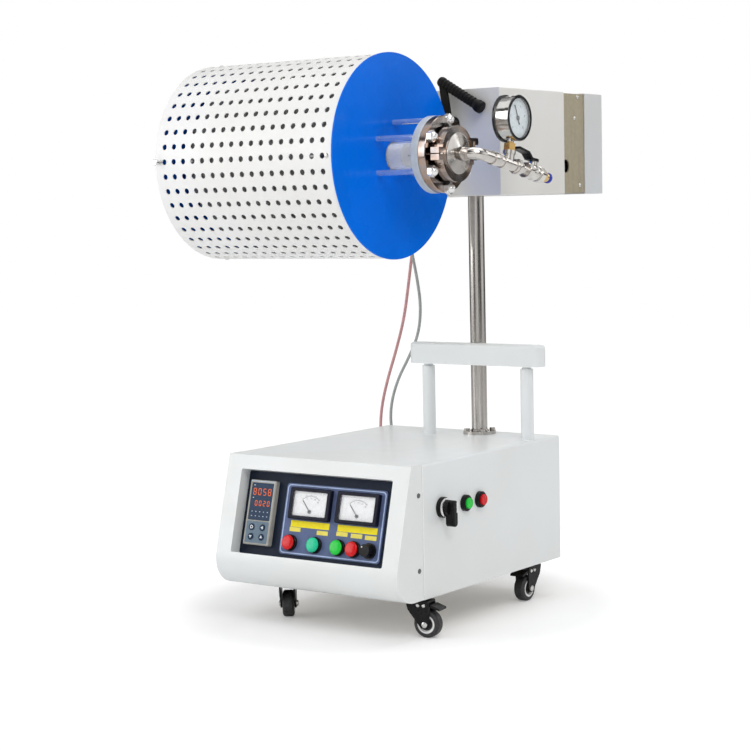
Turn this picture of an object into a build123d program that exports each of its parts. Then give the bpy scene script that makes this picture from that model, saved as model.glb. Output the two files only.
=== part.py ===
"""Tilting tube furnace on a wheeled control cabinet.

Design frame in millimetres: +X runs along the furnace to its gas end, +Y to the back, +Z up.
X = 0 and Y = COLUMN_Y is the column's axis, Y = 0 is the front edge of the cabinet's cover, and
Z = 0 is the floor.  Every piece is moved by SHIFT when it is written, so that the finished part
stands on the centre of its own footprint.
"""
import os
from math import asin, cos, degrees, pi, radians, sin, sqrt, tan

from build123d import *

os.makedirs("parts", exist_ok=True)

# ---------------------------------------------------------------- driving dimensions
SHEET = 1.5                    # folded steel sheet
GAP = 0.3                      # between pieces that must not rub

# cabinet
CABINET_WIDTH = 330.0
CABINET_DEPTH = 381.0
CABINET_HEIGHT = 193.0
CABINET_X = -39.0              # the cabinet's middle stands left of the column
GROUND_CLEARANCE = 57.0
BEND_RADIUS = 4.0

# front bezel
BEZEL_TOP_DEPTH = 26.0
BEZEL_SLOPE = 14.8             # degrees from upright
BEZEL_LIP = 40.0               # radius of the curved lower lip
BEZEL_STEP = 0.8               # how far its sides lie inside the cover's
BEZEL_WALL = 3.0
WINDOW_WIDTH = 274.0
WINDOW_HEIGHT = 124.0
WINDOW_DROP = 83.0             # middle of the window, down the slope from the top edge
RECESS = 20.0                  # depth of the instrument panel behind the face
PANEL_THICKNESS = 2.0

# instruments, placed on the panel by (across, down the slope)
CONTROLLER_SIZE = (48.0, 96.0)
CONTROLLER_AT = (-101.0, 83.0)
CONTROLLER_STAND = 10.0
SUBPANEL_SIZE = (180.0, 104.0)
SUBPANEL_AT = (28.5, 87.0)
SUBPANEL_THICKNESS = 2.0
METER_SIZE = (74.0, 46.0)
METER_AT = ((-12.0, 64.0), (73.0, 64.0))
METER_STAND = 8.0
BUTTON_HEAD = 16.0
BUTTON_RING = 24.0
BUTTON_RING_STAND = 4.0
BUTTON_STAND = 9.0
BUTTON_TRAVEL = 3.0
BUTTON_BARREL = 12.0
BUTTON_AT = ((-42.0, 122.0), (3.0, 122.0), (45.0, 122.0), (72.5, 122.0))
KNOB_AT = (100.0, 122.0)
KNOB_DIAMETER = 23.0
KNOB_STAND = 14.0

# side controls, placed on the right wall by (Y, Z)
ROTARY_AT = (48.0, 183.0)
ROTARY_RING = 30.0
ROTARY_GRIP = (38.0, 11.0)     # length and width
ROTARY_STAND = 17.0
SIDE_BUTTON_AT = ((108.0, 181.0), (147.0, 181.0))
SIDE_RING_STAND = 7.0

# casters
CASTER_INSETS = (71.0, 20.0, 16.0, 63.0)   # from the cabinet's left, right, front and back
CASTER_REST = {(0, 0): 124.0, (1, 0): 8.0, (0, 1): 135.0, (1, 1): 270.0}   # where the wheel trails
WHEEL_DIAMETER = 40.0
WHEEL_WIDTH = 17.0
WHEEL_TRAIL = 14.0
AXLE_DIAMETER = 6.0
FORK_WALL = 2.5
FORK_GAP = 1.0

# transformer on the base plate
CORE_WIDTH = 120.0
CORE_DEPTH = 64.0
CORE_HEIGHT = 100.0
CORE_LIMB = 20.0
WINDING_BUILD = 16.0
TRANSFORMER_AT = (-79.0, 200.0)

# push handle
HANDLE_X = 17.0
HANDLE_Y = 316.0
HANDLE_POSTS = 182.0
POST_DIAMETER = 20.0
POST_HEIGHT = 113.0
BAR_LENGTH = 244.0
BAR_DEPTH = 30.0
BAR_HEIGHT = 33.0

# column
COLUMN_Y = 348.0
COLUMN_DIAMETER = 25.0
COLUMN_FLANGE = 52.0
COLUMN_FLANGE_THICKNESS = 5.0

# head box on the column
HEAD_LEFT = 187.0              # left of the column's axis
HEAD_RIGHT = 107.0             # right of it
HEAD_FRONT = 250.0
HEAD_COVER_DEPTH = 191.0
HEAD_FRAME_DEPTH = 66.0        # bare strip between the two covers
HEAD_REAR_DEPTH = 56.0
HEAD_BOTTOM = 626.0
HEAD_HEIGHT = 160.0
FRAME_SHEET = 2.0
ACCESS_HOLE = 21.0

# tilt drive
TRUNNION_RISE = 80.0           # above the head's floor
TRUNNION_DIAMETER = 30.0
JOURNAL_DIAMETER = 24.0
WHEEL_TEETH = 40
WHEEL_MODULE = 1.25
WORM_DROP = 36.0               # below the trunnion
WORM_PITCH = 3.93
BEARING_DIAMETER = 42.0
WORM_SHAFT = 12.0
DRIVE_HEX = 10.0

# furnace drum, with its axis along X
FURNACE_X = -130.0             # the trunnion is at the drum's middle
FURNACE_Y = 78.0
DRUM_DROP = 22.0               # its axis below the trunnion
DRUM_LENGTH = 329.0
DRUM_RADIUS = 147.5
DRUM_SHEET = 1.2
DISC_THICKNESS = 2.5
DISC_LAP = 1.5                 # how far a disc stands out past the shell
DISC_RIM = 9.0
INNER_RADIUS = 118.0
INNER_LENGTH = 268.0
INNER_SHEET = 1.2
CHAMBER_RADIUS = 38.0
TUBE_DIAMETER = 42.0
TUBE_WALL = 2.5
PLUG_LENGTH = 60.0
PLUG_STAND = 24.0              # how far it shows in front of the disc
COLLAR_LENGTH = 30.0           # fibre collars that close the chamber's ends
COIL_TURNS = 7
COIL_WIRE = 4.4
EARTH_KNOB = 10.0              # knurled screw at the drum's left end

# flanges and their rods
FLANGE_RADIUS = 55.0
FLANGE_THICKNESS = 12.0
ROD_CIRCLE = 48.5
ROD_DIAMETER = 8.0
RIGHT_STAND = 65.5             # disc face to flange
LEFT_STAND = 22.0
DOME_NUT = 15.0
DOME_HEIGHT = 13.0
PLATE_GAP = 0.6                # the seal holds the two flange plates this far apart
STUB_DIAMETER = 52.0
STUB_LENGTH = 6.0
CLAMP_RADIUS = 40.0
CLAMP_WIDTH = 14.0
CAP_RADIUS = 35.0

# gas line from the cap
PIPE_DIAMETER = 7.0
PIPE_LENGTH = 34.0
LINE_DROOP = 10.5              # degrees below level
LINE_DIAMETER = 17.0
LINE_TEE = 80.0
GAUGE_DIAMETER = 66.0
GAUGE_DEPTH = 28.0
GAUGE_RISE = 66.0
VALVE_AT = 148.0
VALVE_DIAMETER = 24.0
HOSE_DIAMETER = 8.0
BARB_DIAMETER = 8.0
BARB_LENGTH = 34.0
BARB_RIDGES = 3

# clamp lever on the head's front, as X and height above the head's floor
LEVER_HUB_AT = (25.0, 109.0)
LEVER_TOP_AT = (15.0, 171.0)
LEVER_END_AT = (85.0, 129.0)
GRIP_DIAMETER = 16.0

# loose leads: places of their glands under the head (X, Y) and on the rear panel (X, Z)
LEAD_DIAMETER = 5.0
GLAND_DIAMETER = 12.0
HEAD_GLANDS = ((-148.0, 402.0), (-170.0, 400.0))
REAR_GLANDS = ((-150.0, 130.0), (-120.0, 150.0))

# rest places of the pointers, in degrees from upright
METER_REST = 42.0
GAUGE_REST = 22.0

# ---------------------------------------------------------------- places worked out from them
CABINET_LEFT = CABINET_X - CABINET_WIDTH / 2
CABINET_RIGHT = CABINET_X + CABINET_WIDTH / 2
CABINET_TOP = GROUND_CLEARANCE + CABINET_HEIGHT
CASTER_X = (CABINET_LEFT + CASTER_INSETS[0], CABINET_RIGHT - CASTER_INSETS[1])
CASTER_Y = (CASTER_INSETS[2], CABINET_DEPTH - CASTER_INSETS[3])
TRUNNION_Z = HEAD_BOTTOM + TRUNNION_RISE
WORM_Z = TRUNNION_Z - WORM_DROP
FURNACE_Z = TRUNNION_Z - DRUM_DROP
LEVER_HUB = (LEVER_HUB_AT[0], HEAD_BOTTOM + LEVER_HUB_AT[1])
LEVER_TOP = (LEVER_TOP_AT[0], HEAD_BOTTOM + LEVER_TOP_AT[1])
LEVER_END = (LEVER_END_AT[0], HEAD_BOTTOM + LEVER_END_AT[1])
DRUM_RIGHT = FURNACE_X + DRUM_LENGTH / 2
DRUM_LEFT = FURNACE_X - DRUM_LENGTH / 2
HEAD_BACK = HEAD_FRONT + HEAD_COVER_DEPTH + HEAD_FRAME_DEPTH + HEAD_REAR_DEPTH
HEAD_TOP = HEAD_BOTTOM + HEAD_HEIGHT
HEAD_STRIP = HEAD_FRONT + HEAD_COVER_DEPTH
WORM_Y = HEAD_STRIP + ACCESS_HOLE / 2 - 2.5
BULKHEADS = (HEAD_FRONT + 50, HEAD_BACK - 50)
WORM_BEARINGS = (FURNACE_X - 40, FURNACE_X + 40, HEAD_RIGHT - 28)
SADDLE_BACK = FURNACE_Y + DRUM_RADIUS + 10
RIGHT_FLANGE = DRUM_RIGHT + RIGHT_STAND
LEFT_FLANGE = DRUM_LEFT - LEFT_STAND
RIGHT_PLATE = RIGHT_FLANGE + FLANGE_THICKNESS + PLATE_GAP
LEFT_PLATE = LEFT_FLANGE - FLANGE_THICKNESS - PLATE_GAP
METER_DIAL = RECESS - SUBPANEL_THICKNESS - METER_STAND + 4
CLAMP_X = RIGHT_PLATE + FLANGE_THICKNESS + STUB_LENGTH
CAP_X = CLAMP_X + CLAMP_WIDTH
LINE_X = CAP_X + PIPE_LENGTH
LEFT_REACH = LEFT_PLATE - FLANGE_THICKNESS - DOME_HEIGHT - BARB_LENGTH
RIGHT_REACH = LINE_X + GAUGE_DEPTH / 2
FRONT_REACH = FURNACE_Y - DRUM_RADIUS - EARTH_KNOB
INNER_END = DRUM_RIGHT - DISC_THICKNESS - DISC_RIM - 6
INNER_START = INNER_END - INNER_LENGTH
SHIFT = Location((-(LEFT_REACH + RIGHT_REACH) / 2, -(FRONT_REACH + HEAD_BACK) / 2, 0))

FACE_TILT = radians(BEZEL_SLOPE)
FACE_NORMAL = (0, -cos(FACE_TILT), sin(FACE_TILT))
FACE_PLANE = Plane(origin=(CABINET_X, -BEZEL_TOP_DEPTH, CABINET_TOP), x_dir=(1, 0, 0), z_dir=FACE_NORMAL)
ROD_ANGLES = (30, 90, 150, 210, 330)
BOLT_ANGLE = 270
LEFT_ROD_ANGLES = (30, 150, 270)


def write(shape, name):
    """Move a finished piece to the part's frame and write its STEP file."""
    export_step(shape.moved(SHIFT), f"parts/{name}.step")


def on_face(across, down, depth=0.0):
    """Plane on the sloped face, depth below it, looking outwards."""
    origin = FACE_PLANE.from_local_coords(Vector(across, -down, -depth))
    return Plane(origin=origin, x_dir=(1, 0, 0), z_dir=FACE_NORMAL)


def along_x(x, y=FURNACE_Y, z=FURNACE_Z):
    """Plane square to X, looking towards +X, with its own x along Y and its own y up."""
    return Plane(origin=(x, y, z), x_dir=(0, 1, 0), z_dir=(1, 0, 0))


def rod_x(radius, start, end, y=FURNACE_Y, z=FURNACE_Z):
    return extrude(along_x(start, y, z) * Circle(radius), end - start)


def tube_x(outer, inner, start, end, y=FURNACE_Y, z=FURNACE_Z):
    return rod_x(outer, start, end, y, z) - rod_x(inner, start, end, y, z)


def rod_y(radius, start, end, x, z):
    plane = Plane(origin=(x, start, z), x_dir=(1, 0, 0), z_dir=(0, 1, 0))
    return extrude(plane * Circle(radius), end - start)


def rod_z(radius, start, end, x, y):
    return Pos(x, y, (start + end) / 2) * Cylinder(radius, end - start)


def block(x0, x1, y0, y1, z0, z1):
    return Pos((x0 + x1) / 2, (y0 + y1) / 2, (z0 + z1) / 2) * Box(x1 - x0, y1 - y0, z1 - z0)


# ---------------------------------------------------------------- cabinet
def bezel_side(inset=0.0):
    """Outline of the bezel from the side, in the YZ plane, drawn in by inset all round the front."""
    centre_z = GROUND_CLEARANCE + BEZEL_LIP
    foot_z = centre_z + BEZEL_LIP * sin(FACE_TILT)
    foot_y = -BEZEL_TOP_DEPTH - (CABINET_TOP - foot_z) * tan(FACE_TILT)
    centre_y = foot_y + BEZEL_LIP * cos(FACE_TILT)
    radius = BEZEL_LIP - inset
    top_front = -BEZEL_TOP_DEPTH + (inset - inset * sin(FACE_TILT)) / cos(FACE_TILT)
    start = (top_front, CABINET_TOP - inset)
    lip_start = (centre_y - radius * cos(FACE_TILT), centre_z + radius * sin(FACE_TILT))
    lip_middle = (centre_y - radius * sin(radians(45)), centre_z - radius * cos(radians(45)))
    lip_end = (centre_y, centre_z - radius)
    low = GROUND_CLEARANCE + inset
    outline = [
        Line((0, CABINET_TOP - inset), start),
        Line(start, lip_start),
        ThreePointArc(lip_start, lip_middle, lip_end),
        Line(lip_end, (0, low)),
        Line((0, low), (0, CABINET_TOP - inset)),
    ]
    return make_face([Plane.YZ * edge for edge in outline])


def front_bezel():
    width = CABINET_WIDTH - 2 * BEZEL_STEP
    body = extrude(Pos(CABINET_X - width / 2, 0, 0) * bezel_side(), width)
    room = width - 2 * BEZEL_WALL
    hollow = extrude(Pos(CABINET_X - room / 2, 0, 0) * bezel_side(BEZEL_WALL), room)
    hollow += block(CABINET_X - room / 2, CABINET_X + room / 2, -8, 1, GROUND_CLEARANCE + BEZEL_WALL,
                    CABINET_TOP - BEZEL_WALL)
    collar = extrude(on_face(0, WINDOW_DROP, RECESS + PANEL_THICKNESS) *
                     RectangleRounded(WINDOW_WIDTH + 2 * BEZEL_WALL, WINDOW_HEIGHT + 2 * BEZEL_WALL, 6),
                     RECESS + PANEL_THICKNESS - 1)
    window = extrude(on_face(0, WINDOW_DROP, RECESS + PANEL_THICKNESS + 10) *
                     RectangleRounded(WINDOW_WIDTH, WINDOW_HEIGHT, 3), RECESS + PANEL_THICKNESS + 20)
    collar = collar & body
    return body - hollow + collar - window


def cabinet_shell():
    """Folded cover: top and both sides, open below, in front and behind."""
    plane = Plane(origin=(CABINET_X, 0, 0), x_dir=(1, 0, 0), z_dir=(0, 1, 0))
    top = -CABINET_TOP
    foot = -GROUND_CLEARANCE
    half = CABINET_WIDTH / 2
    outer = plane * Pos(0, (top + foot) / 2) * Rectangle(CABINET_WIDTH, CABINET_HEIGHT)
    inner = plane * Pos(0, (top + foot + SHEET) / 2) * Rectangle(CABINET_WIDTH - 2 * SHEET, CABINET_HEIGHT - SHEET)
    body = extrude(outer, CABINET_DEPTH)
    body = fillet(body.edges().filter_by(Axis.Y).group_by(Axis.Z)[-1], BEND_RADIUS)
    hollow = extrude(inner, CABINET_DEPTH)
    hollow = fillet(hollow.edges().filter_by(Axis.Y).group_by(Axis.Z)[-1], BEND_RADIUS - SHEET)
    body -= hollow
    for across, up in ((ROTARY_AT), *SIDE_BUTTON_AT):
        body -= rod_x(BUTTON_BARREL / 2 + GAP, CABINET_X + half - 10, CABINET_X + half + 10, across, up)
    body -= rod_z(COLUMN_DIAMETER / 2 + GAP, CABINET_TOP - 20, CABINET_TOP + 20, 0, COLUMN_Y)
    return body


def base_plate():
    """Floor tray with an upturned edge and a round pad over each caster."""
    left = CABINET_LEFT + SHEET + GAP
    right = CABINET_RIGHT - SHEET - GAP
    back = CABINET_DEPTH - SHEET - GAP
    tray = block(left, right, GAP, back, GROUND_CLEARANCE, GROUND_CLEARANCE + 20)
    tray -= block(left + 2, right - 2, GAP + 2, back - 2, GROUND_CLEARANCE + 2, GROUND_CLEARANCE + 21)
    for x in CASTER_X:
        for y in CASTER_Y:
            tray += rod_z(14, GROUND_CLEARANCE, GROUND_CLEARANCE + 6, x, y)
    return tray


def rear_panel():
    """Flat back with louvre slots and two gland holes."""
    panel = block(CABINET_LEFT + SHEET + GAP, CABINET_RIGHT - SHEET - GAP, CABINET_DEPTH - SHEET, CABINET_DEPTH,
                  GROUND_CLEARANCE, CABINET_TOP - BEND_RADIUS)
    slots = Pos(CABINET_X + 60, CABINET_DEPTH, CABINET_TOP - 80) * Rot(90, 0, 0) * GridLocations(60, 14, 2, 6)
    for place in slots:
        panel -= extrude(place * SlotOverall(44, 5), 10, both=True)
    for x, z in REAR_GLANDS:
        panel -= rod_y(GLAND_DIAMETER / 2 - 2 + GAP, CABINET_DEPTH - 10, CABINET_DEPTH + 10, x, z)
    return panel


def instrument_panel():
    plate = extrude(on_face(0, WINDOW_DROP, RECESS + PANEL_THICKNESS) *
                    RectangleRounded(WINDOW_WIDTH - 2 * GAP, WINDOW_HEIGHT - 2 * GAP, 3), PANEL_THICKNESS)
    cutter = CONTROLLER_SIZE[0] - 4
    plate -= extrude(on_face(*CONTROLLER_AT, RECESS + 20) * Rectangle(cutter, CONTROLLER_SIZE[1] - 4), 40)
    for place in METER_AT:
        plate -= extrude(on_face(*place, RECESS + 20) * Circle(METER_SIZE[1] / 2 - 4), 40)
    for place in (*BUTTON_AT, KNOB_AT):
        plate -= extrude(on_face(*place, RECESS + 20) * Circle(BUTTON_BARREL / 2 + GAP), 40)
    return plate


def meter_subpanel():
    plate = extrude(on_face(*SUBPANEL_AT, RECESS) * RectangleRounded(*SUBPANEL_SIZE, 5), SUBPANEL_THICKNESS)
    for place in METER_AT:
        plate -= extrude(on_face(*place, RECESS + 20) * Circle(METER_SIZE[1] / 2 - 4), 40)
    for place in (*BUTTON_AT, KNOB_AT):
        plate -= extrude(on_face(*place, RECESS + 20) * Circle(BUTTON_BARREL / 2 + GAP), 40)
    return plate


def temperature_controller():
    """Panel-mounted controller: a case behind the panel, a bezel in front and four raised keys."""
    width, height = CONTROLLER_SIZE
    bezel = extrude(on_face(*CONTROLLER_AT, RECESS) * RectangleRounded(width, height, 2), CONTROLLER_STAND)
    bezel = chamfer(bezel.faces().sort_by(Axis.Y)[0].edges(), 1.2)
    across, down = CONTROLLER_AT
    window = extrude(on_face(across, down - 16, RECESS - CONTROLLER_STAND + 1) *
                     RectangleRounded(width - 7, height * 0.58, 1.5), 5)
    case = extrude(on_face(*CONTROLLER_AT, RECESS + 62) * Rectangle(width - 5, height - 5), 62)
    body = bezel - window + case
    for side in (-1, 1):
        for row in (22, 36):
            key = extrude(on_face(across + side * 10, down + row, RECESS - CONTROLLER_STAND) * Circle(4.2), 0.8)
            body += key
    return body


def meter_housings():
    """Two moving-coil meters: a framed face with a dial well, and a round movement behind."""
    width, height = METER_SIZE
    depth = RECESS - SUBPANEL_THICKNESS
    meters = []
    for place in METER_AT:
        face = extrude(on_face(*place, depth) * RectangleRounded(width, height, 2.5), METER_STAND)
        face = chamfer(face.faces().sort_by(Axis.Y)[0].edges(), 1.0)
        well = extrude(on_face(place[0], place[1], depth - METER_STAND + 4) *
                       RectangleRounded(width - 12, height - 10, 1.5), 8)
        movement = extrude(on_face(*place, depth + 30) * Circle(height / 2 - 5), 30)
        pivot = extrude(on_face(*needle_hub(place), METER_DIAL) * Circle(1.0), 1.8)
        meters.append(face - well + movement + pivot)
    return Compound(children=meters)


def needle_hub(place):
    """Where a meter's pointer turns: low on its dial."""
    return place[0], place[1] + METER_SIZE[1] / 2 - 12


def meter_needle(place):
    """Thin pointer with a round hub that stands on the dial's pivot."""
    plane = on_face(*needle_hub(place), METER_DIAL - 0.4)
    hub = extrude(plane * Circle(2.6), 1.6) - extrude(plane * Circle(1.05), 2)
    arm = extrude(plane * Rot(0, 0, METER_REST) * Pos(0, 11.5) * Rectangle(1.0, 19), 0.8)
    return hub + arm


def push_button(plane, head_depth):
    """Push button: round head with a softened edge on a plain barrel."""
    head = extrude(plane * Circle(BUTTON_HEAD / 2), head_depth)
    head = fillet(head.faces().sort_by(plane_axis(plane))[-1].edges(), 1.6)
    barrel = extrude(plane * Circle(BUTTON_BARREL / 2 - GAP), -20)
    return head + barrel


def plane_axis(plane):
    return Axis(plane.origin, plane.z_dir)


def ring(plane, outer, inner, stand):
    body = extrude(plane * Circle(outer / 2), stand) - extrude(plane * Circle(inner / 2), stand)
    return chamfer(body.faces().sort_by(plane_axis(plane))[-1].edges().sort_by(SortBy.LENGTH)[-1], stand * 0.25)


def switch_rings():
    """Bezel rings of the four panel buttons, the two side buttons and the rotary switch."""
    panel = RECESS - SUBPANEL_THICKNESS
    rings = [ring(on_face(*place, panel), BUTTON_RING, BUTTON_HEAD + 1, BUTTON_RING_STAND) for place in BUTTON_AT]
    for place in SIDE_BUTTON_AT:
        rings.append(ring(along_x(CABINET_RIGHT, *place), BUTTON_RING, BUTTON_HEAD + 1, SIDE_RING_STAND))
    rotary = ring(along_x(CABINET_RIGHT, *ROTARY_AT), ROTARY_RING, BUTTON_BARREL + 1, SIDE_RING_STAND)
    return Compound(children=[*rings, rotary])


def adjust_knob():
    """Black knob with a fluted skirt and a spindle into the panel."""
    depth = RECESS - SUBPANEL_THICKNESS - GAP
    plane = on_face(*KNOB_AT, depth)
    skirt = extrude(plane * Circle(KNOB_DIAMETER / 2), 3)
    grip = extrude(plane * Circle(KNOB_DIAMETER / 2 - 2), KNOB_STAND, taper=3)
    for place in PolarLocations(KNOB_DIAMETER / 2 - 1.6, 12):
        grip -= extrude(plane * Pos(0, 0, 3) * place * Circle(1.3), KNOB_STAND)
    spindle = extrude(plane * Circle(3), -16)
    return skirt + grip + spindle


def rotary_switch_lever():
    """Rotary switch: round boss with a grip across it that hangs down at rest."""
    plane = along_x(CABINET_RIGHT + SIDE_RING_STAND + GAP, *ROTARY_AT)
    boss = extrude(plane * Circle(ROTARY_GRIP[1]), ROTARY_STAND / 2)
    grip = plane.offset(3) * Pos(0, -ROTARY_GRIP[1] * 0.7) * Rot(0, 0, 90) * SlotOverall(*ROTARY_GRIP)
    lever = extrude(grip, ROTARY_STAND - 3)
    lever = fillet(lever.faces().sort_by(Axis.X)[-1].edges(), 2)
    spindle = extrude(plane * Circle(BUTTON_BARREL / 2 - 2), -SIDE_RING_STAND - 14)
    return boss + lever + spindle


def transformer():
    """Step-down transformer: laminated core with a winding round its middle limb."""
    x, y = TRANSFORMER_AT
    floor = GROUND_CLEARANCE + 2
    half, depth, limb = CORE_WIDTH / 2, CORE_DEPTH / 2, CORE_LIMB
    core = block(x - half, x + half, y - depth, y + depth, floor, floor + CORE_HEIGHT)
    window_start, window_end = limb * 0.8, half - limb * 0.8
    low, high = floor + limb, floor + CORE_HEIGHT - limb
    for side in (-1, 1):
        near, far = sorted((x + side * window_start, x + side * window_end))
        core -= block(near, far, y - depth - 1, y + depth + 1, low, high)
    reach = (window_start + window_end) / 2 + 8
    winding = block(x - reach, x + reach, y - depth - WINDING_BUILD, y + depth + WINDING_BUILD, low + 2, high - 2)
    winding = fillet(winding.edges().filter_by(Axis.Z), WINDING_BUILD * 0.6)
    winding -= core
    winding -= block(x - window_start - GAP, x + window_start + GAP, y - depth - GAP, y + depth + GAP, low, high)
    return Compound(children=[core, *winding.solids()])


# ---------------------------------------------------------------- push handle and column
def push_handle():
    """Two posts with a neck, and a bar with rounded ends across them."""
    pieces = []
    bar_foot = CABINET_TOP + POST_HEIGHT
    bar = extrude(Plane(origin=(HANDLE_X, HANDLE_Y, bar_foot)) * SlotOverall(BAR_LENGTH, BAR_DEPTH), BAR_HEIGHT)
    bar = fillet(bar.edges().group_by(Axis.Z)[-1], 5)
    for side in (-1, 1):
        x = HANDLE_X + side * HANDLE_POSTS / 2
        post = rod_z(POST_DIAMETER / 2, CABINET_TOP, bar_foot - 4, x, HANDLE_Y)
        neck = rod_z(POST_DIAMETER / 2 - 3, bar_foot - 4, bar_foot, x, HANDLE_Y)
        pieces.append(post + neck)
    return Compound(children=[bar, *pieces])


def column():
    """Tubular column with a welded, bolted base flange, from the cabinet's top into the head."""
    top = HEAD_TOP - SHEET - FRAME_SHEET - 2 * GAP
    tube = rod_z(COLUMN_DIAMETER / 2, CABINET_TOP - 30, top, 0, COLUMN_Y)
    flange = rod_z(COLUMN_FLANGE / 2, CABINET_TOP, CABINET_TOP + COLUMN_FLANGE_THICKNESS, 0, COLUMN_Y)
    radius = COLUMN_DIAMETER / 2
    weld = Pos(0, COLUMN_Y, CABINET_TOP + COLUMN_FLANGE_THICKNESS + 1.5) * Cone(radius + 3, radius, 3)
    body = tube + flange + weld
    bolt_circle = (COLUMN_FLANGE + COLUMN_DIAMETER) / 4 + 1.5
    for place in PolarLocations(bolt_circle, 4, 45):
        nut = Pos(0, COLUMN_Y, CABINET_TOP + COLUMN_FLANGE_THICKNESS) * place * RegularPolygon(4.6, 6)
        body += extrude(nut, 4)
    return body - rod_z(COLUMN_DIAMETER / 2 - 2, CABINET_TOP - 31, top - 2, 0, COLUMN_Y)


# ---------------------------------------------------------------- head box
def head_pan(start, end, closed_at):
    """Five-sided folded cover of the head, open towards the frame strip."""
    outer = block(-HEAD_LEFT, HEAD_RIGHT, start, end, HEAD_BOTTOM, HEAD_TOP)
    outer = fillet(outer.edges().filter_by(Axis.Y), 1.6)
    first = start + SHEET if closed_at == "front" else start - 1
    last = end - SHEET if closed_at == "back" else end + 1
    return outer - block(-HEAD_LEFT + SHEET, HEAD_RIGHT - SHEET, first, last, HEAD_BOTTOM + SHEET, HEAD_TOP - SHEET)


def head_front_cover():
    cover = head_pan(HEAD_FRONT, HEAD_STRIP, "front")
    cover -= rod_y(TRUNNION_DIAMETER / 2 + 2, HEAD_FRONT - 5, HEAD_FRONT + 5, FURNACE_X, TRUNNION_Z)
    cover -= rod_y(5 + 0.1, HEAD_FRONT - 5, HEAD_FRONT + 5, *LEVER_HUB)
    cover -= rod_z(COLUMN_DIAMETER / 2 + GAP, HEAD_BOTTOM - 5, HEAD_BOTTOM + 5, 0, COLUMN_Y)
    for x, y in HEAD_GLANDS:
        cover -= rod_z(GLAND_DIAMETER / 2 - 2 + GAP, HEAD_BOTTOM - 5, HEAD_BOTTOM + 5, x, y)
    return cover


def head_rear_cover():
    return head_pan(HEAD_BACK - HEAD_REAR_DEPTH, HEAD_BACK, "back")


def head_chassis():
    """Bare sheet-metal frame: a square sleeve with two bulkheads for the bearings and a column socket."""
    step = SHEET + GAP
    left, right = -HEAD_LEFT + step, HEAD_RIGHT - step
    low, high = HEAD_BOTTOM + step, HEAD_TOP - step
    front, back = HEAD_FRONT + 40, HEAD_BACK - 20
    frame = block(left, right, front, back, low, high)
    frame -= block(left + FRAME_SHEET, right - FRAME_SHEET, front - 1, back + 1, low + FRAME_SHEET, high - FRAME_SHEET)
    for y in BULKHEADS:
        frame += block(left + 1, right - 1, y, y + 3, low + 1, high - 1)
        frame -= rod_y(BEARING_DIAMETER / 2, y - 1, y + 4, FURNACE_X, TRUNNION_Z)
    frame += rod_z(COLUMN_DIAMETER / 2 + 7, low + 1, low + 55, 0, COLUMN_Y)
    frame -= rod_z(COLUMN_DIAMETER / 2, low - 1, high - FRAME_SHEET, 0, COLUMN_Y)
    frame -= rod_x(ACCESS_HOLE / 2, right - 5, right + 5, WORM_Y, WORM_Z)
    for x, y in HEAD_GLANDS:
        frame -= rod_z(GLAND_DIAMETER / 2, low - 5, low + 5, x, y)
    return frame


def drive_bearings():
    """Two trunnion bearings in the bulkheads and three pedestal bearings under the worm shaft."""
    low = HEAD_BOTTOM + SHEET + GAP + FRAME_SHEET
    pieces = []
    for y in BULKHEADS:
        race = rod_y(BEARING_DIAMETER / 2, y - 4, y + 7, FURNACE_X, TRUNNION_Z)
        pieces.append(race - rod_y(JOURNAL_DIAMETER / 2 + 0.05, y - 5, y + 8, FURNACE_X, TRUNNION_Z))
    for x in WORM_BEARINGS:
        foot = block(x - 6, x + 6, WORM_Y - 14, WORM_Y + 14, low, WORM_Z)
        foot += rod_x(14, x - 6, x + 6, WORM_Y, WORM_Z)
        pieces.append(foot - rod_x(WORM_SHAFT / 2 + 0.05, x - 7, x + 7, WORM_Y, WORM_Z))
    return Compound(children=pieces)


def worm_shaft():
    """Cross shaft with a single-start worm in the middle and a hexagon end behind the access hole."""
    shaft = rod_x(WORM_SHAFT / 2, WORM_BEARINGS[0] - 6, WORM_BEARINGS[-1] + 8, WORM_Y, WORM_Z)
    worm_radius = TRUNNION_Z - WORM_Z - WHEEL_TEETH * WHEEL_MODULE / 2 - WHEEL_MODULE - GAP
    half = 24.0
    root = rod_x(worm_radius - 1.6, FURNACE_X - half, FURNACE_X + half, WORM_Y, WORM_Z)
    turns = int(2 * half / WORM_PITCH)
    for turn in range(turns):
        x = FURNACE_X - half + (turn + 0.5) * WORM_PITCH
        ridge = along_x(x - 0.9, WORM_Y, WORM_Z) * Circle(worm_radius)
        root += extrude(ridge, 1.8)
    end = along_x(WORM_BEARINGS[-1] + 8, WORM_Y, WORM_Z)
    hexagon = extrude(end * RegularPolygon(DRIVE_HEX / 2, 6, major_radius=False), 11)
    return shaft + root + hexagon


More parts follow.
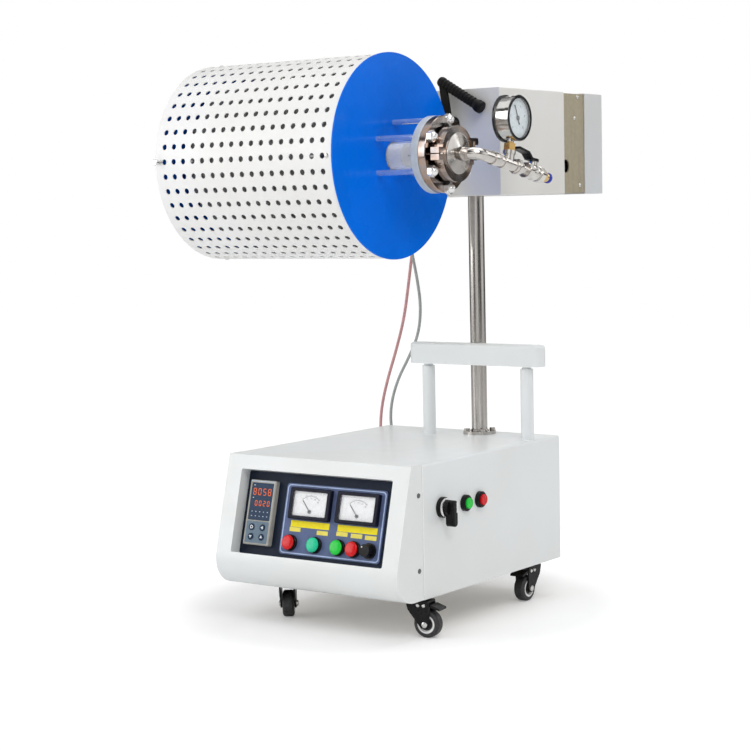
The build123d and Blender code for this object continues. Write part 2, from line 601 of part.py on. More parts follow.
def trunnion_shaft():
    """Flanged shaft that carries the furnace, with the worm wheel keyed on it."""
    start = SADDLE_BACK
    flange = rod_y(42, start, start + 8, FURNACE_X, TRUNNION_Z)
    neck = rod_y(TRUNNION_DIAMETER / 2, start, HEAD_FRONT + 44, FURNACE_X, TRUNNION_Z)
    journal = rod_y(JOURNAL_DIAMETER / 2, HEAD_FRONT + 44, BULKHEADS[-1] + 12, FURNACE_X, TRUNNION_Z)
    pitch_radius = WHEEL_TEETH * WHEEL_MODULE / 2
    wheel = rod_y(pitch_radius - WHEEL_MODULE, WORM_Y - 7, WORM_Y + 7, FURNACE_X, TRUNNION_Z)
    plane = Plane(origin=(FURNACE_X, WORM_Y - 7, TRUNNION_Z), x_dir=(1, 0, 0), z_dir=(0, 1, 0))
    tooth = Polygon((-2, -1.2), (WHEEL_MODULE * 2, -0.6), (WHEEL_MODULE * 2, 0.6), (-2, 1.2), align=None)
    teeth = [extrude(plane * place * tooth, 14) for place in PolarLocations(pitch_radius - WHEEL_MODULE, WHEEL_TEETH)]
    body = flange + neck + journal + wheel
    body += teeth
    for place in PolarLocations(33, 4, 45):
        bolt = Plane(origin=(FURNACE_X, start, TRUNNION_Z), x_dir=(1, 0, 0), z_dir=(0, 1, 0)) * place * Circle(3.5)
        body -= extrude(bolt, 8)
    return body


def furnace_saddle():
    """Cradle behind the drum: follows the shell in front and carries the trunnion flange behind."""
    front = FURNACE_Y + DRUM_RADIUS * cos(asin(60 / DRUM_RADIUS)) - 4
    body = block(FURNACE_X - 70, FURNACE_X + 70, front, SADDLE_BACK, FURNACE_Z - 60, TRUNNION_Z + 46)
    body = fillet(body.edges().filter_by(Axis.Y), 12)
    return body - rod_x(DRUM_RADIUS, FURNACE_X - 80, FURNACE_X + 80)


def clamp_lever():
    """Cranked lever: hub bolt, flat arm and a ribbed hand grip with a flared end."""
    y = HEAD_FRONT - 13
    hub = rod_y(11, y - 2, HEAD_FRONT - GAP, *LEVER_HUB)
    hub += rod_y(5, HEAD_FRONT - GAP, HEAD_FRONT + 12, *LEVER_HUB)
    dx, dz = LEVER_TOP[0] - LEVER_HUB[0], LEVER_TOP[1] - LEVER_HUB[1]
    arm_length = sqrt(dx * dx + dz * dz)
    lean = degrees(asin(dx / arm_length))
    plane = Plane(origin=(LEVER_HUB[0], y + 2, LEVER_HUB[1]), x_dir=(1, 0, 0), z_dir=(0, -1, 0))
    slot = Rot(0, 0, 90 - lean) * Pos(arm_length / 2, 0) * SlotCenterToCenter(arm_length, 12)
    arm = extrude(plane * slot, 5)
    gx, gz = LEVER_END[0] - LEVER_TOP[0], LEVER_END[1] - LEVER_TOP[1]
    length = sqrt(gx * gx + gz * gz)
    radius = GRIP_DIAMETER / 2
    along = Plane(origin=(LEVER_TOP[0], y, LEVER_TOP[1]), x_dir=(0, 1, 0), z_dir=(gx, 0, gz))
    outline = [(0, -6), (radius - 1.5, -6), (radius, -3)]
    ribs = 11
    pitch = (length - 14) / ribs
    for rib in range(ribs):
        s = rib * pitch
        outline += [(radius, s + pitch * 0.3), (radius - 1.1, s + pitch * 0.5)]
        outline += [(radius - 1.1, s + pitch * 0.8), (radius, s + pitch)]
    outline += [(radius + 1.6, length - 9), (radius + 1.6, length - 2), (radius - 1, length), (0, length)]
    profile = make_face(Polyline(*[(r, 0, s) for r, s in outline], close=True))
    grip = along.location * revolve(profile, Axis.Z)
    return hub + arm + grip


# ---------------------------------------------------------------- casters
def caster_axle(column_index, row_index):
    """Swivel place, direction in which the wheel trails, and the axle's height."""
    x, y = CASTER_X[column_index], CASTER_Y[row_index]
    return x, y, CASTER_REST[(column_index, row_index)], WHEEL_DIAMETER / 2


def caster_pieces(column_index, row_index):
    """Fork, wheel and brake pedal, drawn trailing towards +X and then turned to rest."""
    x, y, turn, axle_z = caster_axle(column_index, row_index)
    half_gap = WHEEL_WIDTH / 2 + FORK_GAP
    fork_top = GROUND_CLEARANCE - 3
    side = Plane.XZ
    cheek = Polygon((-17, fork_top), (19, fork_top), (21, fork_top - 9), (WHEEL_TRAIL + 6, axle_z - 6),
                    (WHEEL_TRAIL - 6, axle_z - 6), (-13, fork_top - 14), align=None)
    cheek = fillet(cheek.vertices(), 2.5)
    fork = extrude(side * cheek, half_gap + FORK_WALL, both=True)
    fork -= block(-40, 40, -half_gap, half_gap, 0, fork_top - 3)
    fork = fork + rod_z(15, fork_top, GROUND_CLEARANCE - GAP, 0, 0)
    axle = extrude(Plane.XZ * Pos(WHEEL_TRAIL, axle_z) * Circle(AXLE_DIAMETER / 2), half_gap + FORK_WALL + 1, both=True)
    pedal_at = (17, fork_top - 8)
    fork -= extrude(side * Pos(*pedal_at) * Circle(2.05), half_gap + 10, both=True)
    fork += axle
    wheel = extrude(side * Pos(WHEEL_TRAIL, axle_z) * Circle(WHEEL_DIAMETER / 2), WHEEL_WIDTH / 2, both=True)
    wheel = fillet(wheel.edges().filter_by(GeomType.CIRCLE), 4)
    for face in (-1, 1):
        dish = Plane.XZ.offset(face * (WHEEL_WIDTH / 2 - 2)) * Pos(WHEEL_TRAIL, axle_z)
        cut = extrude(dish * Circle(11) - dish * Circle(5.5), face * 5)
        wheel -= cut
    wheel -= extrude(side * Pos(WHEEL_TRAIL, axle_z) * Circle(AXLE_DIAMETER / 2 + 0.05), WHEEL_WIDTH, both=True)
    pedal = brake_pedal(half_gap, pedal_at)
    place = Pos(x, y, 0) * Rot(0, 0, turn)
    return place * fork, place * wheel, place * pedal


def brake_pedal(half_gap, pivot):
    """Rocking foot lever over the trailing side, on a cross pin through the fork."""
    px, pz = pivot
    tread = Polygon((px + 6, pz + 3), (px + 20, pz - 2), (px + 20, pz - 5), (px + 6, pz - 1), align=None)
    body = extrude(Plane.XZ * tread, half_gap + 2, both=True)
    arm = Polygon((px - 3, pz + 2.5), (px + 7, pz + 2.7), (px + 7, pz - 1.2), (px - 3, pz - 2.5), align=None)
    body += extrude(Plane.XZ * arm, half_gap - 1, both=True)
    body += extrude(Plane.XZ * Pos(px, pz) * Circle(2.0), half_gap + FORK_WALL, both=True)
    return body


# ---------------------------------------------------------------- furnace drum
def perforated_shell():
    return tube_x(DRUM_RADIUS, DRUM_RADIUS - DRUM_SHEET, DRUM_LEFT, DRUM_RIGHT - DISC_THICKNESS)


def end_disc(face, inward, radius):
    """Dished end plate of that radius, with a rim that fits inside the shell."""
    inner_face = face + inward * DISC_THICKNESS
    outer = rod_x(radius, min(face, inner_face), max(face, inner_face))
    rim_end = face + inward * (DISC_THICKNESS + DISC_RIM)
    rim_radius = DRUM_RADIUS - DRUM_SHEET - GAP
    rim = tube_x(rim_radius, rim_radius - DISC_THICKNESS, min(face, rim_end), max(face, rim_end))
    hole = rod_x(TUBE_DIAMETER / 2 + 0.5, face - 20, face + 20)
    return outer + rim - hole


def end_discs():
    """The left disc lies inside the shell's end, the right one laps over it."""
    left = end_disc(DRUM_LEFT, 1, DRUM_RADIUS - DRUM_SHEET - GAP)
    return Compound(children=[left, end_disc(DRUM_RIGHT, -1, DRUM_RADIUS + DISC_LAP)])


def inner_drum():
    """Light inner casing round the insulation, with two stiffening bands."""
    start, end = INNER_START, INNER_END
    body = tube_x(INNER_RADIUS, INNER_RADIUS - INNER_SHEET, start, end)
    for x in (start + INNER_LENGTH * 0.34, start + INNER_LENGTH * 0.56):
        body += tube_x(INNER_RADIUS + 1.5, INNER_RADIUS - 0.1, x - 12, x + 12)
    for x in (start, end - INNER_SHEET):
        body += tube_x(INNER_RADIUS - 0.1, TUBE_DIAMETER / 2 + 2, x, x + INNER_SHEET)
    reach = DRUM_RADIUS - DRUM_SHEET - 0.2
    for x in (start + 20, end - 20):
        for angle in (60, 180, 300):
            foot = block(x - 6, x + 6, INNER_RADIUS - 0.5, reach, -1.5, 1.5)
            body += Pos(0, FURNACE_Y, FURNACE_Z) * Rot(angle, 0, 0) * foot
    return body


def insulation():
    """Ceramic-fibre body round the chamber and a fibre plug in each end of the work tube."""
    start, end = INNER_START + INNER_SHEET, INNER_END - INNER_SHEET
    body = tube_x(INNER_RADIUS - INNER_SHEET - 0.1, CHAMBER_RADIUS, start, end)
    collar = TUBE_DIAMETER / 2 + 0.5
    body += tube_x(CHAMBER_RADIUS + 1, collar, start, start + COLLAR_LENGTH)
    body += tube_x(CHAMBER_RADIUS + 1, collar, end - COLLAR_LENGTH, end)
    inner = TUBE_DIAMETER / 2 - TUBE_WALL - 0.1
    right_plug = rod_x(inner, DRUM_RIGHT + PLUG_STAND - PLUG_LENGTH, DRUM_RIGHT + PLUG_STAND)
    left_plug = rod_x(inner, DRUM_LEFT, DRUM_LEFT + PLUG_LENGTH)
    return Compound(children=[body, right_plug, left_plug])


def heating_coil():
    """Resistance wire wound loosely round the work tube inside the chamber."""
    room = INNER_LENGTH - 2 * INNER_SHEET - 2 * COLLAR_LENGTH - COIL_WIRE - 5
    radius = CHAMBER_RADIUS - COIL_WIRE / 2 - 0.1
    path = Helix(pitch=room / COIL_TURNS, height=room, radius=radius)
    start = path @ 0
    wire = sweep(Plane(origin=start, z_dir=path % 0) * RegularPolygon(COIL_WIRE / 2, 6), path)
    return Pos((INNER_START + INNER_END - room) / 2, FURNACE_Y, FURNACE_Z) * Rot(0, 90, 0) * wire


def quartz_tube():
    outer = TUBE_DIAMETER / 2
    return tube_x(outer, outer - TUBE_WALL, LEFT_FLANGE - FLANGE_THICKNESS, RIGHT_FLANGE + FLANGE_THICKNESS)


def on_circle(angle, radius=ROD_CIRCLE):
    return FURNACE_Y + radius * cos(radians(angle)), FURNACE_Z + radius * sin(radians(angle))


def acorn():
    """Acorn nut standing on the floor: hexagon with a domed end."""
    radius = DOME_NUT / 2 - 1
    shoulder = DOME_HEIGHT - radius
    middle = (radius * sin(radians(45)), 0, shoulder + radius * cos(radians(45)))
    profile = make_face([
        Line((0, 0, 1), (radius, 0, 1)),
        Line((radius, 0, 1), (radius, 0, shoulder)),
        ThreePointArc((radius, 0, shoulder), middle, (0, 0, DOME_HEIGHT)),
        Line((0, 0, DOME_HEIGHT), (0, 0, 1)),
    ])
    return extrude(RegularPolygon(DOME_NUT / 2, 6, major_radius=False), 7) + revolve(profile, Axis.Z)


def dome_nut(x, outward, y, z):
    return Pos(x, y, z) * Rot(0, outward * 90, 0) * acorn()


def stay_rods():
    """Chrome rods from the end discs to the flanges, with an acorn nut on each outer end."""
    radius = ROD_DIAMETER / 2
    inside_nut = 4.0
    right_end = RIGHT_PLATE + FLANGE_THICKNESS
    left_end = LEFT_PLATE - FLANGE_THICKNESS
    pieces = []
    for angle in (*ROD_ANGLES, BOLT_ANGLE):
        place = on_circle(angle)
        start = RIGHT_FLANGE - 4 if angle == BOLT_ANGLE else DRUM_RIGHT
        pieces.append(dome_nut(right_end, 1, *place) + rod_x(radius, start, right_end + inside_nut, *place))
    for angle in LEFT_ROD_ANGLES:
        place = on_circle(angle)
        pieces.append(dome_nut(left_end, -1, *place) + rod_x(radius, left_end - inside_nut, DRUM_LEFT, *place))
    return Compound(children=[*pieces, earth_knob()])


def earth_knob():
    """Knurled screw that stands on the front of the drum at its left end."""
    x, skin = DRUM_LEFT + EARTH_KNOB * 0.6, FURNACE_Y - DRUM_RADIUS
    knob = rod_y(EARTH_KNOB * 0.45, skin - EARTH_KNOB, skin - EARTH_KNOB * 0.3, x, FURNACE_Z)
    knob = chamfer(knob.edges().filter_by(GeomType.CIRCLE), 1)
    return knob + rod_y(EARTH_KNOB * 0.25, skin - EARTH_KNOB / 2, skin, x, FURNACE_Z)


def flange_plate(x, angles, bore):
    """Round plate from x towards +X with a bore and a hole for each rod."""
    body = rod_x(FLANGE_RADIUS, x, x + FLANGE_THICKNESS)
    body = chamfer(body.edges().filter_by(GeomType.CIRCLE), 0.8)
    if bore:
        body -= rod_x(bore, x - 1, x + FLANGE_THICKNESS + 1)
    for angle in angles:
        y, z = on_circle(angle)
        body -= rod_x(ROD_DIAMETER / 2 + 0.05, x - 1, x + FLANGE_THICKNESS + 1, y, z)
    return body


def inner_flanges():
    """Grey plates that clamp the seal on the work tube at both ends."""
    right = flange_plate(RIGHT_FLANGE, (*ROD_ANGLES, BOLT_ANGLE), TUBE_DIAMETER / 2 + 0.05)
    left = flange_plate(LEFT_FLANGE - FLANGE_THICKNESS, LEFT_ROD_ANGLES, TUBE_DIAMETER / 2 + 0.05)
    return Compound(children=[right, left])


def outer_flanges():
    """Polished closing plates; the right one has a clamp stub, the left one a hose barb."""
    right = flange_plate(RIGHT_PLATE, (*ROD_ANGLES, BOLT_ANGLE), 0)
    face = RIGHT_PLATE + FLANGE_THICKNESS
    right += rod_x(STUB_DIAMETER / 2, face, CLAMP_X + 4)
    right += rod_x(CAP_RADIUS - 2, CLAMP_X + 3.1, CLAMP_X + CLAMP_WIDTH / 2 - 0.4)
    right -= rod_x(STUB_DIAMETER / 2 - 3, RIGHT_PLATE - 1, CLAMP_X + CLAMP_WIDTH)
    left = flange_plate(LEFT_PLATE - FLANGE_THICKNESS, LEFT_ROD_ANGLES, 0)
    tip = LEFT_REACH
    base = LEFT_PLATE - FLANGE_THICKNESS
    left += extrude(along_x(base, FURNACE_Y, FURNACE_Z) * RegularPolygon(9, 6, major_radius=False), -10)
    ridged = 7.0 * BARB_RIDGES
    radius = BARB_DIAMETER / 2
    left += rod_x(radius, tip + ridged, base)
    left += rod_x(radius - 0.9, tip, base)
    for ridge in range(BARB_RIDGES):
        x = tip + 4 + ridge * 7
        left += Pos(x, FURNACE_Y, FURNACE_Z) * Rot(0, 90, 0) * Cone(radius - 1, radius - 0.05, 6)
    left -= rod_x(2.5, tip - 1, LEFT_PLATE + 1)
    return Compound(children=[right, left])


def clamp_ring():
    """Hinged clamp on the stub's lip: two jaws, a hinge knuckle, a swing bolt and its wing nut."""
    body = tube_x(CLAMP_RADIUS, CAP_RADIUS + 0.2, CLAMP_X, CLAMP_X + CLAMP_WIDTH)
    body += tube_x(CLAMP_RADIUS, STUB_DIAMETER / 2 + 1, CLAMP_X, CLAMP_X + 3)
    body += tube_x(CLAMP_RADIUS, CAP_RADIUS - 4, CLAMP_X + CLAMP_WIDTH - 3, CLAMP_X + CLAMP_WIDTH)
    middle = CLAMP_X + CLAMP_WIDTH / 2
    for angle in (0, 180):
        y, z = on_circle(angle, CLAMP_RADIUS + 3)
        place = Pos(middle, y, z) * Rot(angle, 0, 0)
        body += place * Box(CLAMP_WIDTH, 12, 18)
        body -= place * Box(CLAMP_WIDTH + 2, 20, 1.6)
    y, z = on_circle(0, CLAMP_RADIUS + 7)
    bolt = Pos(middle, y, z) * Cylinder(2.5, 30)
    wing = Pos(middle, y, z + 14) * Cylinder(5, 8)
    wings = Pos(middle + 2, y, z + 18) * Box(3, 24, 10)
    wings = fillet(wings.edges().filter_by(lambda edge: abs(edge.length - 3) < 0.01), 3)
    return body - rod_x(CAP_RADIUS + 0.1, CLAMP_X + 3.1, CLAMP_X + CLAMP_WIDTH - 3.1) + bolt + wing + wings


# ---------------------------------------------------------------- gas line
DROOP = radians(LINE_DROOP)
LINE_DIRECTION = Vector(0, cos(DROOP), -sin(DROOP))
LINE_UP = Vector(0, sin(DROOP), cos(DROOP))
LINE_START = Vector(LINE_X, FURNACE_Y, FURNACE_Z)


def on_line(along, rise=0.0):
    """Plane square to the drooping gas line; its own y points down."""
    origin = LINE_START + LINE_DIRECTION * along + LINE_UP * rise
    return Plane(origin=origin, x_dir=(1, 0, 0), z_dir=LINE_DIRECTION)


def rising(along, rise):
    """Plane square to the line's upward side, for stems that stand on it."""
    origin = LINE_START + LINE_DIRECTION * along + LINE_UP * rise
    return Plane(origin=origin, x_dir=(1, 0, 0), z_dir=LINE_UP)


def line_rod(radius, start, end):
    return extrude(on_line(start) * Circle(radius), end - start)


def line_hexagon(across_flats, start, end):
    body = extrude(on_line(start) * RegularPolygon(across_flats / 2, 6, major_radius=False), end - start)
    trim = extrude(on_line(start) * Circle(across_flats / 2 + 1.1), end - start)
    return body & chamfer(trim.edges().filter_by(GeomType.CIRCLE), 1.0)


def gas_pipework():
    """Polished cap on the clamp stub, thin pipe, elbow, tee with a branch, and the union to the valve."""
    lip = CLAMP_X + CLAMP_WIDTH / 2 + 0.4
    cap = rod_x(CAP_RADIUS, lip, CLAMP_X + CLAMP_WIDTH - 3.2)
    cap += rod_x(CAP_RADIUS - 4.5, lip, CAP_X + 1)
    cap += Pos(CAP_X + 2.5, FURNACE_Y, FURNACE_Z) * Rot(0, 90, 0) * Cone(CAP_RADIUS - 6, 10, 3)
    pipe = rod_x(PIPE_DIAMETER / 2, CAP_X, LINE_X - 22)
    socket = rod_x(LINE_DIAMETER / 2 - 1.5, LINE_X - 27, LINE_X - 22)
    radius = LINE_DIAMETER / 2
    path = FilletPolyline(LINE_START - Vector(24, 0, 0), LINE_START, LINE_START + LINE_DIRECTION * 42, radius=14)
    elbow = sweep(along_x(LINE_X - 24) * Circle(radius), path)
    collars = tube_x(radius + 1.5, radius - 1, LINE_X - 24, LINE_X - 17)
    collars += line_rod(radius + 1.5, 34, 42)
    tee = line_rod(radius, 46, LINE_TEE + 20)
    tee += line_rod(radius + 1.2, LINE_TEE - 20, LINE_TEE - 14)
    tee += line_rod(radius + 1.2, LINE_TEE + 14, LINE_TEE + 20)
    nipple = line_hexagon(18, 42, 50)
    branch = extrude(rising(LINE_TEE, 0) * Circle(radius - 0.5), 19)
    branch += extrude(rising(LINE_TEE, 14) * Circle(radius + 0.8), 5)
    union = line_hexagon(21, LINE_TEE + 20, LINE_TEE + 28)
    union += line_rod(radius - 1.5, LINE_TEE + 28, VALVE_AT - 22)
    return cap + pipe + socket + elbow + collars + nipple + tee + branch + union


def pressure_gauge():
    """Gauge case facing +X on a brass stem: back flange, case, front rim and a sunken dial."""
    centre = LINE_START + LINE_DIRECTION * LINE_TEE + LINE_UP * GAUGE_RISE
    radius = GAUGE_DIAMETER / 2
    back = LINE_X - GAUGE_DEPTH / 2
    front = back + GAUGE_DEPTH
    case = rod_x(radius - 1.5, back, front, centre.Y, centre.Z)
    case += rod_x(radius + 1, back + 1, back + 4, centre.Y, centre.Z)
    case += rod_x(radius, front - 7, front, centre.Y, centre.Z)
    case = chamfer(case.faces().sort_by(Axis.X)[-1].edges(), 1.2)
    case -= rod_x(radius - 3.5, front - 5, front + 1, centre.Y, centre.Z)
    case += rod_x(1.5, front - 6, front - 2.2, centre.Y, centre.Z)
    stem = extrude(rising(LINE_TEE, 19) * RegularPolygon(8, 6, major_radius=False), 10)
    stem += extrude(rising(LINE_TEE, 29) * Circle(5.5), GAUGE_RISE - radius - 27)
    return case + stem


def gauge_needle():
    centre = LINE_START + LINE_DIRECTION * LINE_TEE + LINE_UP * GAUGE_RISE
    plane = along_x(LINE_X + GAUGE_DEPTH / 2 - 4.4, centre.Y, centre.Z)
    hub = extrude(plane * Circle(3.4), 1.4)
    hub -= extrude(plane * Circle(1.55), 3)
    arm = extrude(plane * Rot(0, 0, GAUGE_REST) * Pos(0, 11.5) * Rectangle(1.4, 17), 0.8)
    tail = extrude(plane * Rot(0, 0, GAUGE_REST) * Pos(0, -6.5) * Rectangle(2.2, 7), 0.8)
    return hub + arm + tail


def ball_valve():
    """Mini ball valve with a stem boss, a brass push-in fitting and its release collet."""
    radius = VALVE_DIAMETER / 2
    body = line_hexagon(22, VALVE_AT - 22, VALVE_AT - 11)
    body += line_rod(radius - 2.5, VALVE_AT - 11, VALVE_AT + 11)
    body += Pos(*(LINE_START + LINE_DIRECTION * VALVE_AT)) * Sphere(radius)
    body += line_hexagon(22, VALVE_AT + 11, VALVE_AT + 22)
    body += extrude(rising(VALVE_AT, 0) * Circle(6), radius + 4)
    fitting = line_hexagon(17, VALVE_AT + 22, VALVE_AT + 30)
    fitting += line_rod(7, VALVE_AT + 30, VALVE_AT + 38)
    collet = line_rod(6.2, VALVE_AT + 38, VALVE_AT + 45)
    collet += line_rod(7.8, VALVE_AT + 42.5, VALVE_AT + 45)
    outlet = fitting + collet
    return body + outlet - line_rod(HOSE_DIAMETER / 2 + 0.1, VALVE_AT + 27, VALVE_AT + 46)


def ball_valve_lever():
    """Flat handle on the valve's stem, lying back along the line when the valve is open."""
    rise = VALVE_DIAMETER / 2 + 4 + GAP
    plane = rising(VALVE_AT, rise)
    hub = extrude(plane * Circle(8), 4)
    hub = fillet(hub.edges().group_by(Axis.Z)[-1], 1)
    side = Plane(origin=plane.origin, x_dir=-LINE_DIRECTION, z_dir=(-1, 0, 0))
    outline = [(0, 0), (14, 0), (24, 7), (50, 9), (50, 12.5), (22, 10.5), (12, 3.5), (0, 3.5)]
    blade = side * Polygon(*outline, align=None)
    lever = extrude(blade, 6.5, both=True)
    tip_y = (plane.origin - LINE_DIRECTION * 40).Y
    lever = fillet(lever.edges().filter_by(lambda edge: 2 < edge.length < 5 and edge.center().Y < tip_y), 1.2)
    return hub + lever


# ---------------------------------------------------------------- loose leads
HEATER_ROUTE = [
    (-148, 402, 616), (-150, 403, 588), (-164, 406, 536), (-173, 406, 480), (-180, 402, 426), (-197, 401, 372),
    (-219, 404, 320), (-236, 408, 268), (-243, 416, 216), (-233, 431, 172), (-206, 447, 142), (-173, 447, 131),
    (-153, 425, 130), (-150, 393, 130)]
SENSOR_ROUTE = [
    (-170, 400, 616), (-168, 398, 584), (-157, 394, 540), (-145, 391, 496), (-138, 391, 450), (-145, 394, 404),
    (-168, 398, 364), (-195, 401, 324), (-213, 405, 280), (-219, 413, 236), (-206, 427, 192), (-176, 440, 163),
    (-145, 441, 152), (-124, 422, 150), (-120, 393, 150)]


def lead(name, route):
    """Round lead along straight runs joined by arcs as large as the runs allow."""
    points = [Vector(*point) for point in route]
    radii = []
    for before, corner, after in zip(points, points[1:], points[2:]):
        shorter = min((corner - before).length, (after - corner).length)
        half_turn = radians((corner - before).get_angle(after - corner)) / 2
        radii.append(0.45 * shorter / tan(half_turn))
    path = FilletPolyline(*points, radius=radii)
    tube = sweep(Plane(origin=points[0], z_dir=points[1] - points[0]) * Circle(LEAD_DIAMETER / 2), path)
    section = pi * (LEAD_DIAMETER / 2) ** 2
    print(f"{name}: length {path.length:.0f}, arc radii", [round(radius) for radius in radii],
          f"volume over section times length {tube.volume / section / path.length:.4f}")
    return tube


def cable_glands():
    """Domed nylon glands: two under the head and two on the rear panel, each with a bore for its lead."""
    bore = LEAD_DIAMETER / 2
    pieces = []
    for x, y in HEAD_GLANDS:
        gland = rod_z(GLAND_DIAMETER / 2 - 2, HEAD_BOTTOM, HEAD_BOTTOM + 8, x, y)
        gland += rod_z(GLAND_DIAMETER / 2, HEAD_BOTTOM - 6, HEAD_BOTTOM, x, y)
        gland += Pos(x, y, HEAD_BOTTOM - 8) * Cone(bore + 1.2, GLAND_DIAMETER / 2 - 1, 4)
        pieces.append(gland)
    for x, z in REAR_GLANDS:
        gland = rod_y(GLAND_DIAMETER / 2 - 2, CABINET_DEPTH - 8, CABINET_DEPTH, x, z)
        gland += rod_y(GLAND_DIAMETER / 2, CABINET_DEPTH, CABINET_DEPTH + 8, x, z)
        gland += Pos(x, CABINET_DEPTH + 10, z) * Rot(90, 0, 0) * Cone(bore + 1.2, GLAND_DIAMETER / 2 - 1, 4)
        pieces.append(gland)
    return Compound(children=pieces)


def main():
    write(cabinet_shell(), "cabinet_shell")
    write(base_plate(), "base_plate")
    write(rear_panel(), "rear_panel")
    write(front_bezel(), "front_bezel")
    write(instrument_panel(), "instrument_panel")
    write(meter_subpanel(), "meter_subpanel")
    write(temperature_controller(), "temperature_controller")
    write(meter_housings(), "meter_housings")
    write(switch_rings(), "switch_rings")
    write(transformer(), "transformer")
    write(push_handle(), "push_handle")
    write(column(), "column")
    write(head_chassis(), "head_chassis")
    write(head_front_cover(), "head_front_cover")
    write(head_rear_cover(), "head_rear_cover")
    write(drive_bearings(), "drive_bearings")
    write(cable_glands(), "cable_glands")
    for side, place in zip(("left", "right"), METER_AT):
        write(meter_needle(place), f"{side}_meter_needle")
    panel = RECESS - SUBPANEL_THICKNESS
    names = ("heater_off_button", "heater_on_button", "start_button", "stop_button")
    for name, place in zip(names, BUTTON_AT):
        write(push_button(on_face(*place, panel - BUTTON_TRAVEL - GAP), BUTTON_STAND - BUTTON_TRAVEL), name)
    for name, place in zip(("side_green_button", "side_red_button"), SIDE_BUTTON_AT):
        write(push_button(along_x(CABINET_RIGHT + BUTTON_TRAVEL + GAP, *place), SIDE_RING_STAND), name)
    write(adjust_knob(), "adjust_knob")
    write(rotary_switch_lever(), "rotary_switch_lever")
    write(clamp_lever(), "clamp_lever")
    write(worm_shaft(), "worm_shaft")
    for row, front_or_rear in enumerate(("front", "rear")):
        for column_index, side in enumerate(("left", "right")):
            fork, wheel, pedal = caster_pieces(column_index, row)
            write(fork, f"{front_or_rear}_{side}_fork")
            write(wheel, f"{front_or_rear}_{side}_wheel")
            write(pedal, f"{front_or_rear}_{side}_brake_pedal")
    write(trunnion_shaft(), "trunnion_shaft")
    write(furnace_saddle(), "furnace_saddle")
    write(perforated_shell(), "perforated_shell")
    write(end_discs(), "end_discs")
    write(inner_drum(), "inner_drum")
    write(insulation(), "insulation")
    write(heating_coil(), "heating_coil")
    write(quartz_tube(), "quartz_tube")
    write(stay_rods(), "stay_rods")
    write(inner_flanges(), "inner_flanges")
    write(outer_flanges(), "outer_flanges")
    write(clamp_ring(), "clamp_ring")
    write(gas_pipework(), "gas_pipework")
    write(pressure_gauge(), "pressure_gauge")
    write(gauge_needle(), "gauge_needle")
    write(ball_valve(), "ball_valve")
    write(ball_valve_lever(), "ball_valve_lever")
    write(lead("heater_lead", HEATER_ROUTE), "heater_lead")
    write(lead("sensor_lead", SENSOR_ROUTE), "sensor_lead")


main()
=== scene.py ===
"""Dresses the tilting tube furnace: finishes, the punched shell, leads, dials and small fittings."""
import math

import bmesh
import bpy
from mathutils import Matrix, Vector


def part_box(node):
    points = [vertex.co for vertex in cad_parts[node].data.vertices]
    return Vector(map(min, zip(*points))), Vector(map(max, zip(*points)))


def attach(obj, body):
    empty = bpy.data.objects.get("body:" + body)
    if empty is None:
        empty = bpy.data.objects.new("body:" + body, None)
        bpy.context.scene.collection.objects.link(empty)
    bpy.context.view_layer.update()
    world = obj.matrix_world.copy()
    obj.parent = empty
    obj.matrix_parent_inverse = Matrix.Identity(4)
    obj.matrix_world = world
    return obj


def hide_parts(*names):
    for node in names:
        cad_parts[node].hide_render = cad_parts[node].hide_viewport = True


bl_info = {
    "name": "Tube furnace looks",
    "version": (1, 0, 0),
    "blender": (4, 5, 0),
    "location": "View3D > Sidebar > Furnace",
    "description": "Finishes and small fittings of a tilting tube furnace on a wheeled cabinet",
    "category": "Object",
}

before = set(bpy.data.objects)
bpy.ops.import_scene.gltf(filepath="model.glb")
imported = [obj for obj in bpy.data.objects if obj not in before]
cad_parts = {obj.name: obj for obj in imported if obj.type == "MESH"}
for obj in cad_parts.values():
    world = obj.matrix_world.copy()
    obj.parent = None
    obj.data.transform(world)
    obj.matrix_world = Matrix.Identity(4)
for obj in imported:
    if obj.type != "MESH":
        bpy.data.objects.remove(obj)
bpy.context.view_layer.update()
MM = 0.001


def middle(node):
    low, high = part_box(node)
    return (Vector(low) + Vector(high)) / 2


# The column's axis is X = 0 and Y = 348 mm in the design; its foot tells where that is here.
ORIGIN = Vector((middle("column").x, middle("column").y - 348 * MM, 0))


def at(x, y, z):
    """Design place in millimetres as a place in metres."""
    return ORIGIN + Vector((x, y, z)) * MM


# ------------------------------------------------------------------ sizes and colours a user may change
class FurnaceSizes(bpy.types.PropertyGroup):
    hole_diameter: bpy.props.FloatProperty(
        name="Hole diameter", description="Diameter of one hole of the shell", default=0.0086, min=0.002,
        max=0.016, subtype="DISTANCE", unit="LENGTH")
    hole_columns: bpy.props.IntProperty(
        name="Hole columns", description="Columns of holes along the drum", default=17, min=4, max=40)
    hole_rows: bpy.props.IntProperty(
        name="Hole rows", description="Holes in one ring round the drum", default=42, min=12, max=90)
    hole_pitch: bpy.props.FloatProperty(
        name="Column pitch", description="Distance between two columns of holes", default=0.0183, min=0.01,
        max=0.03, subtype="DISTANCE", unit="LENGTH")
    screw_head: bpy.props.FloatProperty(
        name="Screw head", description="Diameter of the small pan-head screws", default=0.0075, min=0.003,
        max=0.012, subtype="DISTANCE", unit="LENGTH")


